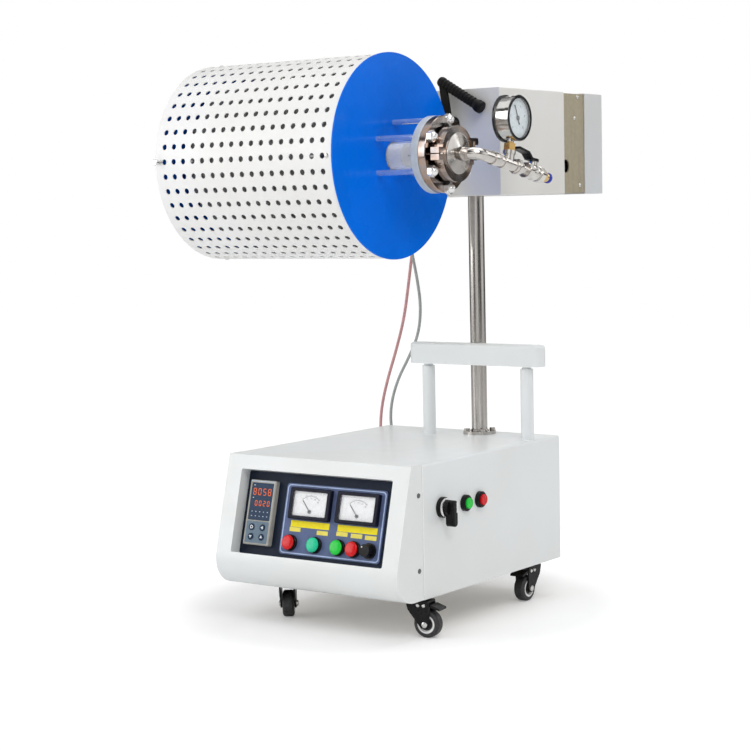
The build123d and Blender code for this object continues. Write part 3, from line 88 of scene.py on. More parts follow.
class FurnaceColours(bpy.types.PropertyGroup):
    cabinet: bpy.props.FloatVectorProperty(
        name="Cabinet paint", description="Powder coat of the cabinet, the head and the handle", size=3,
        default=(0.80, 0.83, 0.84), min=0, max=1, subtype="COLOR")
    shell: bpy.props.FloatVectorProperty(
        name="Shell paint", description="Paint of the perforated shell", size=3,
        default=(0.87, 0.875, 0.87), min=0, max=1, subtype="COLOR")
    disc: bpy.props.FloatVectorProperty(
        name="End disc", description="Paint of the drum's end discs", size=3,
        default=(0.0, 0.165, 0.84), min=0, max=1, subtype="COLOR")
    panel: bpy.props.FloatVectorProperty(
        name="Instrument panel", description="Dark plate behind the instruments", size=3,
        default=(0.012, 0.020, 0.040), min=0, max=1, subtype="COLOR")
    subpanel: bpy.props.FloatVectorProperty(
        name="Meter plate", description="Printed plate that carries the meters and buttons", size=3,
        default=(0.118, 0.158, 0.300), min=0, max=1, subtype="COLOR")


# ------------------------------------------------------------------ materials
def set_input(shader, name, value):
    shader.inputs[name].default_value = value


class Finish:
    """Builds one node material step by step on Object coordinates."""

    def __init__(self, name):
        self.material = bpy.data.materials.new(name)
        self.material.use_nodes = True
        self.tree = self.material.node_tree
        self.shader = self.tree.nodes["Principled BSDF"]
        self.coordinates = self.tree.nodes.new("ShaderNodeTexCoord").outputs["Object"]

    def add(self, kind, **settings):
        node = self.tree.nodes.new(kind)
        for name, value in settings.items():
            setattr(node, name, value)
        return node

    def link(self, source, target):
        self.tree.links.new(source, target)

    def mapped(self, scale=(1, 1, 1), location=(0, 0, 0), rotation=(0, 0, 0)):
        node = self.add("ShaderNodeMapping", vector_type="POINT")
        node.inputs["Scale"].default_value = scale
        node.inputs["Location"].default_value = location
        node.inputs["Rotation"].default_value = rotation
        self.link(self.coordinates, node.inputs["Vector"])
        return node.outputs["Vector"]

    def noise(self, scale, detail=3.0, vector=None, roughness=0.5):
        node = self.add("ShaderNodeTexNoise")
        node.inputs["Scale"].default_value = scale
        node.inputs["Detail"].default_value = detail
        node.inputs["Roughness"].default_value = roughness
        self.link(vector or self.coordinates, node.inputs["Vector"])
        return node.outputs["Fac"]

    def spread(self, source, low, high, first=0.3, last=0.7):
        node = self.add("ShaderNodeMapRange")
        node.inputs["From Min"].default_value = first
        node.inputs["From Max"].default_value = last
        node.inputs["To Min"].default_value = low
        node.inputs["To Max"].default_value = high
        self.link(source, node.inputs["Value"])
        return node.outputs["Result"]

    def mix(self, factor, first, second):
        """Mixes two colours, each a triple or a socket."""
        node = self.add("ShaderNodeMix", data_type="RGBA")
        sockets = [s for s in node.inputs if s.type == "RGBA"]
        for socket, value in zip(sockets, (first, second)):
            if isinstance(value, bpy.types.NodeSocket):
                self.link(value, socket)
            else:
                socket.default_value = (*value, 1)
        if isinstance(factor, bpy.types.NodeSocket):
            self.link(factor, node.inputs["Factor"])
        else:
            node.inputs["Factor"].default_value = factor
        return [s for s in node.outputs if s.type == "RGBA"][0]

    def maths(self, operation, first, second=None):
        node = self.add("ShaderNodeMath", operation=operation)
        for socket, value in zip(node.inputs, (first, second)):
            if isinstance(value, bpy.types.NodeSocket):
                self.link(value, socket)
            elif value is not None:
                socket.default_value = value
        return node.outputs["Value"]

    def axis_distance(self, centre, axis):
        """Distance in metres from a line through centre along axis, a vector."""
        shift = self.add("ShaderNodeVectorMath", operation="SUBTRACT")
        self.link(self.coordinates, shift.inputs[0])
        shift.inputs[1].default_value = centre
        along = self.add("ShaderNodeVectorMath", operation="DOT_PRODUCT")
        self.link(shift.outputs["Vector"], along.inputs[0])
        along.inputs[1].default_value = axis
        scaled = self.add("ShaderNodeVectorMath", operation="SCALE")
        scaled.inputs[0].default_value = axis
        self.link(along.outputs["Value"], scaled.inputs["Scale"])
        rest = self.add("ShaderNodeVectorMath", operation="SUBTRACT")
        self.link(shift.outputs["Vector"], rest.inputs[0])
        self.link(scaled.outputs["Vector"], rest.inputs[1])
        length = self.add("ShaderNodeVectorMath", operation="LENGTH")
        self.link(rest.outputs["Vector"], length.inputs[0])
        return length.outputs["Value"]

    def component(self, index):
        node = self.add("ShaderNodeSeparateXYZ")
        self.link(self.coordinates, node.inputs["Vector"])
        return node.outputs[index]

    def below(self, value, limit, soft=0.0004):
        """1 where value is under limit, with a soft step."""
        return self.spread(value, 1.0, 0.0, limit - soft, limit + soft)

    def colour(self, value):
        if isinstance(value, bpy.types.NodeSocket):
            self.link(value, self.shader.inputs["Base Color"])
        else:
            set_input(self.shader, "Base Color", (*value, 1))
        return self

    def rough(self, value):
        if isinstance(value, bpy.types.NodeSocket):
            self.link(value, self.shader.inputs["Roughness"])
        else:
            set_input(self.shader, "Roughness", value)
        return self

    def bump(self, height, distance, strength=1.0):
        node = self.add("ShaderNodeBump")
        node.inputs["Distance"].default_value = distance
        node.inputs["Strength"].default_value = strength
        self.link(height, node.inputs["Height"])
        self.link(node.outputs["Normal"], self.shader.inputs["Normal"])
        return self

    def metal(self, value=1.0):
        set_input(self.shader, "Metallic", value)
        return self


def tint(colour, factor):
    return tuple(min(1.0, channel * factor) for channel in colour)


def powder_coat(name, colour, roughness=0.36, warm=(1.0, 0.985, 0.96)):
    """Fine orange-peel paint with faint handling marks."""
    finish = Finish(name)
    patches = finish.spread(finish.noise(5, 2), 0, 1, 0.35, 0.65)
    warmer = tuple(channel * factor for channel, factor in zip(colour, warm))
    finish.colour(finish.mix(patches, colour, tint(warmer, 0.965)))
    finish.rough(finish.spread(finish.noise(40, 4), roughness - 0.05, roughness + 0.09))
    finish.bump(finish.noise(900, 2), 0.00006, 0.5)
    set_input(finish.shader, "Coat Weight", 0.15)
    set_input(finish.shader, "Coat Roughness", 0.2)
    return finish.material


def moulded(name, colour, roughness=0.42, grain=1400):
    """Moulded plastic with a fine spark-eroded grain."""
    finish = Finish(name)
    finish.colour(finish.mix(finish.spread(finish.noise(60, 3), 0, 1), colour, tint(colour, 0.8)))
    finish.rough(finish.spread(finish.noise(120, 3), roughness - 0.06, roughness + 0.1))
    set_input(finish.shader, "Specular IOR Level", 0.16)
    return finish.bump(finish.noise(grain, 2), 0.00005, 0.6).material


def lens(name, colour, glow=0.0):
    """Translucent-looking button cap whose tone varies faintly at random."""
    finish = Finish(name)
    finish.colour(finish.mix(finish.spread(finish.noise(90, 2), 0, 1), colour, tint(colour, 0.82)))
    finish.rough(finish.spread(finish.noise(200, 2), 0.16, 0.3))
    set_input(finish.shader, "Specular IOR Level", 0.2)
    set_input(finish.shader, "Coat Weight", 0.25)
    set_input(finish.shader, "Coat Roughness", 0.08)
    if glow:
        set_input(finish.shader, "Emission Color", (*colour, 1))
        set_input(finish.shader, "Emission Strength", glow)
    return finish.material


def brushed(name, colour, along, roughness=0.28, marks=0.25):
    """Brushed or drawn metal with streaks along one axis."""
    finish = Finish(name)
    stretch = [700.0, 700.0, 700.0]
    stretch["XYZ".index(along)] = 12.0
    streaks = finish.noise(1.0, 4, finish.mapped(scale=stretch), 0.6)
    finish.colour(finish.mix(finish.spread(streaks, 0, 1), colour, tint(colour, 1 - marks)))
    finish.rough(finish.spread(streaks, roughness - 0.06, roughness + 0.12))
    return finish.bump(streaks, 0.00002, 0.4).metal().material


def polished(name, colour, roughness=0.1, smear=30):
    """Bright metal with fingerprints and faint waviness."""
    finish = Finish(name)
    smears = finish.noise(smear, 4, roughness=0.65)
    finish.colour(finish.mix(finish.spread(smears, 0, 1), colour, tint(colour, 0.86)))
    finish.rough(finish.spread(smears, roughness, roughness + 0.12))
    return finish.bump(finish.noise(220, 2), 0.00003, 0.35).metal().material


def heat_tinted(name, colour, warm):
    """Bright turned steel with straw and copper tints from the heat."""
    finish = Finish(name)
    tints = finish.spread(finish.noise(26, 3, roughness=0.6), 0, 0.75, 0.42, 0.68)
    smears = finish.noise(60, 4, roughness=0.65)
    smeared = finish.mix(finish.spread(smears, 0, 1), colour, tint(colour, 0.75))
    finish.colour(finish.mix(tints, smeared, warm))
    finish.rough(finish.spread(smears, 0.1, 0.22))
    return finish.bump(finish.noise(220, 2), 0.00003, 0.3).metal().material


def cast(name, colour, roughness=0.5, metal=0.85):
    """Matte bead-blasted aluminium or cast iron."""
    finish = Finish(name)
    finish.colour(finish.mix(finish.spread(finish.noise(70, 4), 0, 1), colour, tint(colour, 0.84)))
    finish.rough(finish.spread(finish.noise(150, 3), roughness - 0.08, roughness + 0.1))
    return finish.bump(finish.noise(1100, 3), 0.00006, 0.7).metal(metal).material


def zinc_sheet(name, colour=(0.37, 0.325, 0.225)):
    """Bare galvanised sheet: faint spangle and rolling streaks."""
    finish = Finish(name)
    spangle = finish.add("ShaderNodeTexVoronoi")
    spangle.inputs["Scale"].default_value = 130
    finish.link(finish.coordinates, spangle.inputs["Vector"])
    grain = finish.spread(spangle.outputs["Distance"], 0, 0.5, 0.1, 0.6)
    grey = finish.mix(grain, colour, tint(colour, 0.78))
    streaks = finish.noise(1.0, 3, finish.mapped(scale=(300, 300, 10)))
    finish.colour(finish.mix(finish.spread(streaks, 0, 0.5), grey, tint(colour, 1.25)))
    finish.rough(finish.spread(streaks, 0.4, 0.55))
    return finish.bump(streaks, 0.00002, 0.4).metal(0.25).material


def gloss_enamel(name, colour):
    """Deep gloss paint with slight waviness."""
    finish = Finish(name)
    finish.colour(finish.mix(finish.spread(finish.noise(9, 3), 0, 1), colour, tint(colour, 0.86)))
    finish.rough(finish.spread(finish.noise(25, 4), 0.22, 0.34))
    finish.bump(finish.noise(60, 2), 0.00015, 0.25)
    set_input(finish.shader, "Specular IOR Level", 0.04)
    set_input(finish.shader, "Coat Weight", 0.08)
    set_input(finish.shader, "Coat Roughness", 0.1)
    return finish.material


def ceramic_fibre(name):
    """Fluffy white fibre board with fine matted strands."""
    finish = Finish(name)
    strands = finish.noise(1.0, 5, finish.mapped(scale=(240, 700, 420)), 0.7)
    finish.colour(finish.mix(finish.spread(strands, 0, 1), (0.93, 0.92, 0.9), (0.78, 0.76, 0.73)))
    finish.rough(0.95)
    set_input(finish.shader, "Sheen Weight", 0.4)
    return finish.bump(strands, 0.0007, 0.9).material


def clear_quartz(name):
    finish = Finish(name)
    finish.colour(finish.mix(finish.noise(30, 2), (0.93, 0.96, 0.96), (0.86, 0.9, 0.9)))
    finish.rough(finish.spread(finish.noise(80, 3), 0.02, 0.08))
    rim = finish.add("ShaderNodeLayerWeight")
    rim.inputs["Blend"].default_value = 0.35
    finish.link(finish.spread(rim.outputs["Facing"], 0.03, 0.7, 0.25, 0.9), finish.shader.inputs["Alpha"])
    set_input(finish.shader, "IOR", 1.46)
    return finish.material


def sleeve(name, colour):
    """Woven high-temperature sleeve of a lead."""
    finish = Finish(name)
    weave = finish.add("ShaderNodeTexWave", wave_type="BANDS", bands_direction="DIAGONAL")
    weave.inputs["Scale"].default_value = 260
    weave.inputs["Distortion"].default_value = 1.5
    finish.link(finish.coordinates, weave.inputs["Vector"])
    finish.colour(finish.mix(finish.spread(weave.outputs["Fac"], 0, 1, 0.2, 0.8), colour, tint(colour, 0.7)))
    finish.rough(0.75)
    return finish.bump(weave.outputs["Fac"], 0.0003, 0.6).material


def printed(name, colour, roughness=0.4):
    """Screen-printed ink or label stock with slight unevenness."""
    finish = Finish(name)
    finish.colour(finish.mix(finish.spread(finish.noise(160, 3), 0, 1), colour, tint(colour, 0.9)))
    finish.rough(finish.spread(finish.noise(300, 2), roughness - 0.05, roughness + 0.08))
    set_input(finish.shader, "Specular IOR Level", 0.15)
    return finish.material


def glowing_digits(name, colour):
    finish = Finish(name)
    finish.colour(finish.mix(finish.noise(400, 1), tint(colour, 0.12), tint(colour, 0.2)))
    finish.rough(0.5)
    set_input(finish.shader, "Specular IOR Level", 0.1)
    set_input(finish.shader, "Emission Color", (*colour, 1))
    set_input(finish.shader, "Emission Strength", 1.0)
    return finish.material


def tyre_and_hub(name, centre, axis):
    """Black tread outside, pale nylon hub inside."""
    finish = Finish(name)
    distance = finish.axis_distance(centre, axis)
    specks = finish.spread(finish.noise(300, 3), 0, 1)
    black = finish.mix(specks, (0.012, 0.012, 0.013), (0.035, 0.035, 0.037))
    pale = finish.mix(finish.spread(finish.noise(90, 2), 0, 1), (0.85, 0.85, 0.84), (0.74, 0.74, 0.73))
    hub = finish.maths("SUBTRACT", finish.below(distance, 0.0134), finish.below(distance, 0.0096))
    finish.colour(finish.mix(hub, black, pale))
    finish.rough(finish.spread(hub, 0.55, 0.35, 0, 1))
    return finish.bump(finish.noise(800, 2), 0.00008, 0.5).material


# ------------------------------------------------------------------ mesh helpers
def finish_piece(shape, name, body, material, sharp=35.0):
    """Turns a bmesh into a piece that rides on a body."""
    bmesh.ops.remove_doubles(shape, verts=shape.verts, dist=1e-7)
    mesh = bpy.data.meshes.new(name)
    shape.to_mesh(mesh)
    shape.free()
    for polygon in mesh.polygons:
        polygon.use_smooth = True
    mesh.set_sharp_from_angle(angle=math.radians(sharp))
    mesh.materials.append(material)
    piece = bpy.data.objects.new(name, mesh)
    bpy.context.scene.collection.objects.link(piece)
    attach(piece, body)
    return piece


def basis(origin, x_axis, z_axis):
    """Matrix of a place from its origin, its own x and its own z."""
    z = Vector(z_axis).normalized()
    x = (Vector(x_axis) - z * z.dot(Vector(x_axis))).normalized()
    y = z.cross(x)
    matrix = Matrix((x, y, z)).transposed().to_4x4()
    matrix.translation = origin
    return matrix


def facing_x(x, y, z, outward=1):
    """Place on a surface square to X, with its z pointing outwards."""
    return basis(at(x, y, z), (0, outward, 0), (outward, 0, 0))


def facing_y(x, y, z, outward=-1):
    return basis(at(x, y, z), (-outward, 0, 0), (0, outward, 0))


SLOPE = math.radians(14.8)
FACE_NORMAL = Vector((0, -math.cos(SLOPE), math.sin(SLOPE)))
FACE_DOWN = Vector((0, -math.sin(SLOPE), -math.cos(SLOPE)))


def on_face(across, down, depth):
    """Place on the sloped face, in millimetres across, down the slope and behind it."""
    origin = at(-39 + across, -26, 250) + FACE_DOWN * down * MM - FACE_NORMAL * depth * MM
    return basis(origin, (1, 0, 0), FACE_NORMAL)


def add_lathe(shape, profile, matrix, steps=32):
    """Spins a profile of (radius, height) in millimetres about the matrix's own z."""
    verts = [shape.verts.new((radius * MM, 0, height * MM)) for radius, height in profile]
    edges = [shape.edges.new(pair) for pair in zip(verts, verts[1:])]
    spun = bmesh.ops.spin(shape, geom=verts + edges, cent=(0, 0, 0), axis=(0, 0, 1), angle=2 * math.pi,
                          steps=steps, use_merge=True, use_duplicate=False, dvec=(0, 0, 0))
    new = list({v for v in spun["geom_last"] if isinstance(v, bmesh.types.BMVert)})
    reached = set(verts) | set(new)
    queue = list(reached)
    while queue:
        for edge in queue.pop().link_edges:
            for vert in edge.verts:
                if vert not in reached:
                    reached.add(vert)
                    queue.append(vert)
    reached = [v for v in reached if v.is_valid]
    merged = bmesh.ops.find_doubles(shape, verts=reached, dist=1e-7)
    bmesh.ops.weld_verts(shape, targetmap=merged["targetmap"])
    reached = [v for v in reached if v.is_valid]
    faces = list({face for vert in reached for face in vert.link_faces})
    bmesh.ops.recalc_face_normals(shape, faces=faces)
    bmesh.ops.transform(shape, matrix=matrix, verts=reached)
    return faces


def add_plate(shape, width, height, thickness, corner, matrix, softness=0.0):
    """Plate on the matrix's plane, in millimetres, with rounded corners and a softened front edge."""
    made = bmesh.ops.create_cube(shape, size=1.0)
    verts = made["verts"]
    bmesh.ops.scale(shape, vec=(width * MM, height * MM, thickness * MM), verts=verts)
    bmesh.ops.translate(shape, vec=(0, 0, thickness * MM / 2), verts=verts)
    faces = {face for vert in verts for face in vert.link_faces}
    if corner:
        upright = [e for e in {e for v in verts for e in v.link_edges}
                   if abs(e.verts[0].co.z - e.verts[1].co.z) > thickness * MM * 0.9]
        made = bmesh.ops.bevel(shape, geom=upright, offset=corner * MM, segments=4, affect="EDGES",
                               profile=0.5, material=-1)
        faces = {f for f in faces | set(made["faces"]) if f.is_valid}
    if softness:
        front = max(faces, key=lambda face: face.calc_center_median().z)
        made = bmesh.ops.bevel(shape, geom=list(front.edges), offset=softness * MM, segments=2,
                               affect="EDGES", profile=0.5, material=-1)
        faces = {f for f in faces | set(made["faces"]) if f.is_valid}
    verts = list({vert for face in faces for vert in face.verts})
    bmesh.ops.transform(shape, matrix=matrix, verts=verts)
    return faces


def add_frame(shape, width, height, line, corner, rise, matrix):
    """Thin raised line round a rounded rectangle, in millimetres; it has to be alone in the shape."""
    made = bmesh.ops.create_grid(shape, x_segments=1, y_segments=1, size=0.5)
    bmesh.ops.scale(shape, vec=(width * MM, height * MM, 1), verts=made["verts"])
    bmesh.ops.bevel(shape, geom=made["verts"], offset=corner * MM, segments=4, affect="VERTICES", profile=0.5,
                    material=-1)
    shape.faces.ensure_lookup_table()
    middle_face = shape.faces[0]
    bmesh.ops.inset_region(shape, faces=[middle_face], thickness=line * MM, depth=0, use_boundary=True)
    bmesh.ops.delete(shape, geom=[middle_face], context="FACES")
    bmesh.ops.recalc_face_normals(shape, faces=shape.faces)
    bmesh.ops.solidify(shape, geom=shape.faces, thickness=rise * MM)
    lowest = min(vert.co.z for vert in shape.verts)
    bmesh.ops.translate(shape, vec=(0, 0, -lowest), verts=shape.verts)
    bmesh.ops.recalc_face_normals(shape, faces=shape.faces)
    bmesh.ops.transform(shape, matrix=matrix, verts=shape.verts)


def add_screw(shape, matrix, diameter, rise=0.55):
    """Pan-head screw whose recess is a sunken dimple; its head rises by that share of its radius."""
    radius = diameter / MM / 2
    top = radius * rise
    profile = [(0, top * 0.5), (radius * 0.25, top * 0.5), (radius * 0.35, top), (radius * 0.62, top * 0.92),
               (radius * 0.9, top * 0.55), (radius, 0.05), (radius, 0)]
    add_lathe(shape, profile, matrix, 16)


def add_bar(shape, start, end, width, thickness, matrix):
    """Flat bar between two points of the matrix's plane, in millimetres."""
    run = Vector(end) - Vector(start)
    place = Matrix.Translation((Vector(start) + run / 2).to_3d() * MM)
    turn = Matrix.Rotation(math.atan2(run.y, run.x), 4, "Z")
    add_plate(shape, run.length, width, thickness, 0, matrix @ place @ turn)


def numeral(text, size, matrix):
    """Number for a dial, as a mesh in its place."""
    curve = bpy.data.curves.new("numeral", "FONT")
    curve.body = text
    curve.size = size * MM
    curve.align_x = "CENTER"
    curve.align_y = "CENTER"
    curve.extrude = 0.00005
    curve.resolution_u = 3
    holder = bpy.data.objects.new("numeral", curve)
    bpy.context.scene.collection.objects.link(holder)
    bpy.context.view_layer.update()
    mesh = bpy.data.meshes.new_from_object(holder)
    bpy.data.objects.remove(holder)
    bpy.data.curves.remove(curve)
    mesh.transform(matrix)
    return mesh


def add_mesh(shape, mesh):
    shape.from_mesh(mesh)
    bpy.data.meshes.remove(mesh)


# ------------------------------------------------------------------ operators
class FURNACE_OT_dress_nodes(bpy.types.Operator):
    """Give every CAD node its own finish"""
    bl_idname = "furnace.dress_nodes"
    bl_label = "Finish the CAD nodes"

    def execute(self, context):
        look = context.scene.furnace_colours
        cabinet = powder_coat("cabinet powder coat", tuple(look.cabinet))
        head = powder_coat("head powder coat", (0.76, 0.755, 0.735))
        zinc = zinc_sheet("galvanised sheet")
        black = moulded("black moulding", (0.008, 0.008, 0.009), 0.3)
        black_soft = moulded("grip rubber", (0.007, 0.007, 0.007), 0.5, 700)
        stainless = brushed("drawn stainless tube", (0.56, 0.53, 0.50), "Z", 0.14, 0.3)
        shafts = brushed("turned steel", (0.6, 0.6, 0.6), "X", 0.25)
        finishes = {
            cabinet: ["cabinet_shell", "front_bezel", "rear_panel", "push_handle"],
            head: ["head_front_cover"],
            powder_coat("rear cover paint", (0.64, 0.66, 0.68)): ["head_rear_cover"],
            zinc: ["head_chassis", "base_plate"],
            black: ["switch_rings", "adjust_knob", "rotary_switch_lever", "ball_valve_lever", "cable_glands"],
            moulded("meter frame", (0.004, 0.005, 0.018), 0.4): ["meter_housings"],
            moulded("controller case", (0.43, 0.42, 0.385), 0.45): ["temperature_controller"],
            black_soft: ["clamp_lever"],
            moulded("caster paint", (0.010, 0.010, 0.011), 0.32): [
                f"{row}_{side}_{part}" for row in ("front", "rear") for side in ("left", "right")
                for part in ("fork", "brake_pedal")],
            printed("needle paint", (0.02, 0.02, 0.022)): ["gauge_needle"],
            printed("grey needle paint", (0.16, 0.16, 0.17)): ["left_meter_needle", "right_meter_needle"],
            printed("instrument plate", tuple(look.panel), 0.5): ["instrument_panel"],
            printed("meter plate", tuple(look.subpanel), 0.42): ["meter_subpanel"],
            stainless: ["column"],
            shafts: ["trunnion_shaft", "worm_shaft", "drive_bearings"],
            cast("ground rod steel", (0.90, 0.90, 0.90), 0.18, 0.8): ["stay_rods"],
            polished("gas line steel", (0.66, 0.63, 0.60), 0.1, 55): ["gas_pipework"],
            heat_tinted("tinted stainless", (0.42, 0.39, 0.38), (0.40, 0.22, 0.12)):
                ["outer_flanges", "clamp_ring"],
            cast("blasted flange", (0.60, 0.645, 0.67), 0.5, 0.3): ["inner_flanges"],
            cast("cast saddle", (0.47, 0.47, 0.46)): ["furnace_saddle"],
            cast("laminated core", (0.12, 0.11, 0.1), 0.6): ["transformer"],
            brushed("oxidised wire", (0.32, 0.27, 0.23), "X", 0.5): ["heating_coil"],
            gloss_enamel("disc enamel", tuple(look.disc)): ["end_discs"],
            # The inner drum is grey paint, darkened further as painted shade so the holes through the shell
            # look dark.
            powder_coat("inner drum grey with painted shade", (0.36, 0.36, 0.36), 0.6): ["inner_drum"],
            ceramic_fibre("ceramic fibre"): ["insulation"],
            clear_quartz("fused quartz"): ["quartz_tube"],
            lens("red lens", (0.72, 0.004, 0.008)): ["heater_off_button", "stop_button", "side_red_button"],
            lens("teal lens", (0.01, 0.58, 0.31), 0.06): ["heater_on_button"],
            lens("green lens", (0.01, 0.60, 0.05), 0.06): ["start_button", "side_green_button"],
        }
        for material, nodes in finishes.items():
            for node in nodes:
                self.give(node, material)
        self.give("perforated_shell", powder_coat("shell underlay", tuple(look.shell)))
        for lead in ("heater_lead", "sensor_lead"):
            self.give(lead, sleeve(f"{lead} sleeve", (0.6, 0.3, 0.3)))
        self.give("ball_valve", self.valve_metal())
        self.give("pressure_gauge", self.gauge_metal())
        for (row, side), axis in WHEEL_AXES.items():
            node = f"{row}_{side}_wheel"
            self.give(node, tyre_and_hub(f"{row} {side} tyre", tuple(middle(node)), axis))
        return {"FINISHED"}

    def give(self, node, material):
        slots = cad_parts[node].data.materials
        if len(slots):
            slots[0] = material
        else:
            slots.append(material)

    def valve_metal(self):
        """Chrome body, brass fitting and a coloured release collet along the gas line."""
        finish = Finish("valve and fitting")
        along = finish.add("ShaderNodeVectorMath", operation="DOT_PRODUCT")
        finish.link(finish.coordinates, along.inputs[0])
        along.inputs[1].default_value = LINE
        start = at(*LINE_START).dot(LINE)
        smears = finish.spread(finish.noise(50, 4), 0, 1)
        chrome = finish.mix(smears, (0.74, 0.72, 0.69), (0.6, 0.58, 0.55))
        brass = finish.mix(smears, (0.75, 0.57, 0.27), (0.6, 0.42, 0.17))
        collet = finish.mix(smears, (0.06, 0.09, 0.5), (0.04, 0.06, 0.4))
        before_brass = finish.below(along.outputs["Value"], start + (148 + 22) * MM)
        before_collet = finish.below(along.outputs["Value"], start + (148 + 38) * MM)
        finish.colour(finish.mix(before_collet, collet, finish.mix(before_brass, brass, chrome)))
        finish.rough(finish.spread(smears, 0.1, 0.26, 0, 1))
        finish.link(before_collet, finish.shader.inputs["Metallic"])
        return finish.material

    def gauge_metal(self):
        """Chrome case with a black back flange and a brass neck under it."""
        finish = Finish("gauge case")
        smears = finish.spread(finish.noise(50, 4), 0, 1)
        chrome = finish.mix(smears, (0.76, 0.75, 0.73), (0.64, 0.63, 0.61))
        brass = finish.mix(smears, (0.62, 0.42, 0.17), (0.5, 0.3, 0.1))
        black = finish.mix(smears, (0.012, 0.012, 0.013), (0.02, 0.02, 0.022))
        centre = on_line(LINE_TEE, GAUGE_RISE)
        inside = finish.below(finish.axis_distance(tuple(centre), (1, 0, 0)), 34.6 * MM)
        flange = finish.below(finish.component(0), centre.x - 9.6 * MM)
        front = finish.maths("SUBTRACT", 1.0, finish.below(finish.component(0), centre.x + 12.6 * MM))
        dark = finish.maths("MAXIMUM", flange, front)
        finish.colour(finish.mix(inside, brass, finish.mix(dark, chrome, black)))
        finish.rough(finish.spread(smears, 0.08, 0.22, 0, 1))
        shiny = finish.maths("SUBTRACT", 1.0, finish.maths("MULTIPLY", inside, dark))
        finish.link(shiny, finish.shader.inputs["Metallic"])
        return finish.material


# Where each wheel trails, in degrees about Z.
WHEEL_TRAILS = {("front", "left"): 124, ("front", "right"): 8, ("rear", "left"): 135, ("rear", "right"): 270}
WHEEL_AXES = {place: (-math.sin(math.radians(turn)), math.cos(math.radians(turn)), 0)
              for place, turn in WHEEL_TRAILS.items()}
# Gas line: its tee and the gauge's rise in millimetres, its droop, its directions and its start.
LINE_TEE = 80
GAUGE_RISE = 66
LINE_DROOP = math.radians(10.5)
LINE = Vector((0, math.cos(LINE_DROOP), -math.sin(LINE_DROOP)))
LINE_UP = Vector((0, math.sin(LINE_DROOP), math.cos(LINE_DROOP)))
LINE_START = (178.6, 78, 684)


def on_line(along, rise):
    return at(*LINE_START) + (LINE * along + LINE_UP * rise) * MM


SHEET_THICKNESS = 0.0012


class FURNACE_OT_perforated_shell(bpy.types.Operator):
    """Roll the drum's shell with its rows of punched holes"""
    bl_idname = "furnace.perforated_shell"
    bl_label = "Perforated shell"

    def execute(self, context):
        sizes = context.scene.furnace_sizes
        low, high = (Vector(corner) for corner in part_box("perforated_shell"))
        axis = (low + high) / 2
        radius = (high.z - low.z) / 2
        length = high.x - low.x
        rows, columns = sizes.hole_rows, sizes.hole_columns
        pitch = sizes.hole_pitch
        step = 2 * math.pi * radius / rows
        sheet = bmesh.new()
        cell = bmesh.ops.create_circle(sheet, cap_ends=False, radius=sizes.hole_diameter / 2, segments=16)
        rim = list({e for v in cell["verts"] for e in v.link_edges})
        grown = bmesh.ops.extrude_edge_only(sheet, edges=rim)
        for vert in (g for g in grown["geom"] if isinstance(g, bmesh.types.BMVert)):
            reach = max(abs(vert.co.x), abs(vert.co.y))
            vert.co.x *= pitch / 2 / reach
            vert.co.y *= step / 2 / reach
        self.repeat(sheet, columns, Vector((pitch, 0, 0)))
        self.repeat(sheet, rows, Vector((0, step, 0)))
        bmesh.ops.remove_doubles(sheet, verts=sheet.verts, dist=1e-5)
        bmesh.ops.translate(sheet, vec=(-(columns - 1) * pitch / 2, 0, 0), verts=sheet.verts)
        for side in (-1, 1):
            edge_x = side * columns * pitch / 2
            ends = [e for e in sheet.edges if all(abs(v.co.x - edge_x) < 1e-5 for v in e.verts)]
            grown = bmesh.ops.extrude_edge_only(sheet, edges=ends)
            for vert in (g for g in grown["geom"] if isinstance(g, bmesh.types.BMVert)):
                vert.co.x = side * length / 2
        for vert in sheet.verts:
            angle = vert.co.y / radius
            rolled = (0, -radius * math.cos(angle), radius * math.sin(angle))
            vert.co = Vector((vert.co.x + axis.x, axis.y + rolled[1], axis.z + rolled[2]))
        bmesh.ops.remove_doubles(sheet, verts=sheet.verts, dist=1e-5)
        bmesh.ops.recalc_face_normals(sheet, faces=sheet.faces)
        outward = sheet.faces[0]
        radial = outward.calc_center_median() - axis
        if outward.normal.dot(Vector((0, radial.y, radial.z))) < 0:
            bmesh.ops.reverse_faces(sheet, faces=sheet.faces)
        bmesh.ops.solidify(sheet, geom=sheet.faces, thickness=SHEET_THICKNESS)
        colours = context.scene.furnace_colours
        paint = powder_coat("shell paint", tuple(colours.shell), 0.4)
        piece = finish_piece(sheet, "perforated_sheet", "furnace", paint)
        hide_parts("perforated_shell")
        return {"FINISHED"}

    def repeat(self, sheet, count, step):
        """Copies everything count times along step."""
        original = list(sheet.verts) + list(sheet.edges) + list(sheet.faces)
        for index in range(1, count):
            copy = bmesh.ops.duplicate(sheet, geom=original)
            moved = [g for g in copy["geom"] if isinstance(g, bmesh.types.BMVert)]
            bmesh.ops.translate(sheet, vec=step * index, verts=moved)


HEATER_ROUTE = [
    (-148, 402, 616), (-150, 403, 588), (-164, 406, 536), (-173, 406, 480), (-180, 402, 426),
    (-197, 401, 372), (-219, 404, 320), (-236, 408, 268), (-243, 416, 216), (-233, 431, 172),
    (-206, 447, 142), (-173, 447, 131), (-153, 425, 130), (-150, 393, 130)]
SENSOR_ROUTE = [
    (-170, 400, 616), (-168, 398, 584), (-157, 394, 540), (-145, 391, 496), (-138, 391, 450),
    (-145, 394, 404), (-168, 398, 364), (-195, 401, 324), (-213, 405, 280), (-219, 413, 236),
    (-206, 427, 192), (-176, 440, 163), (-145, 441, 152), (-124, 422, 150), (-120, 393, 150)]


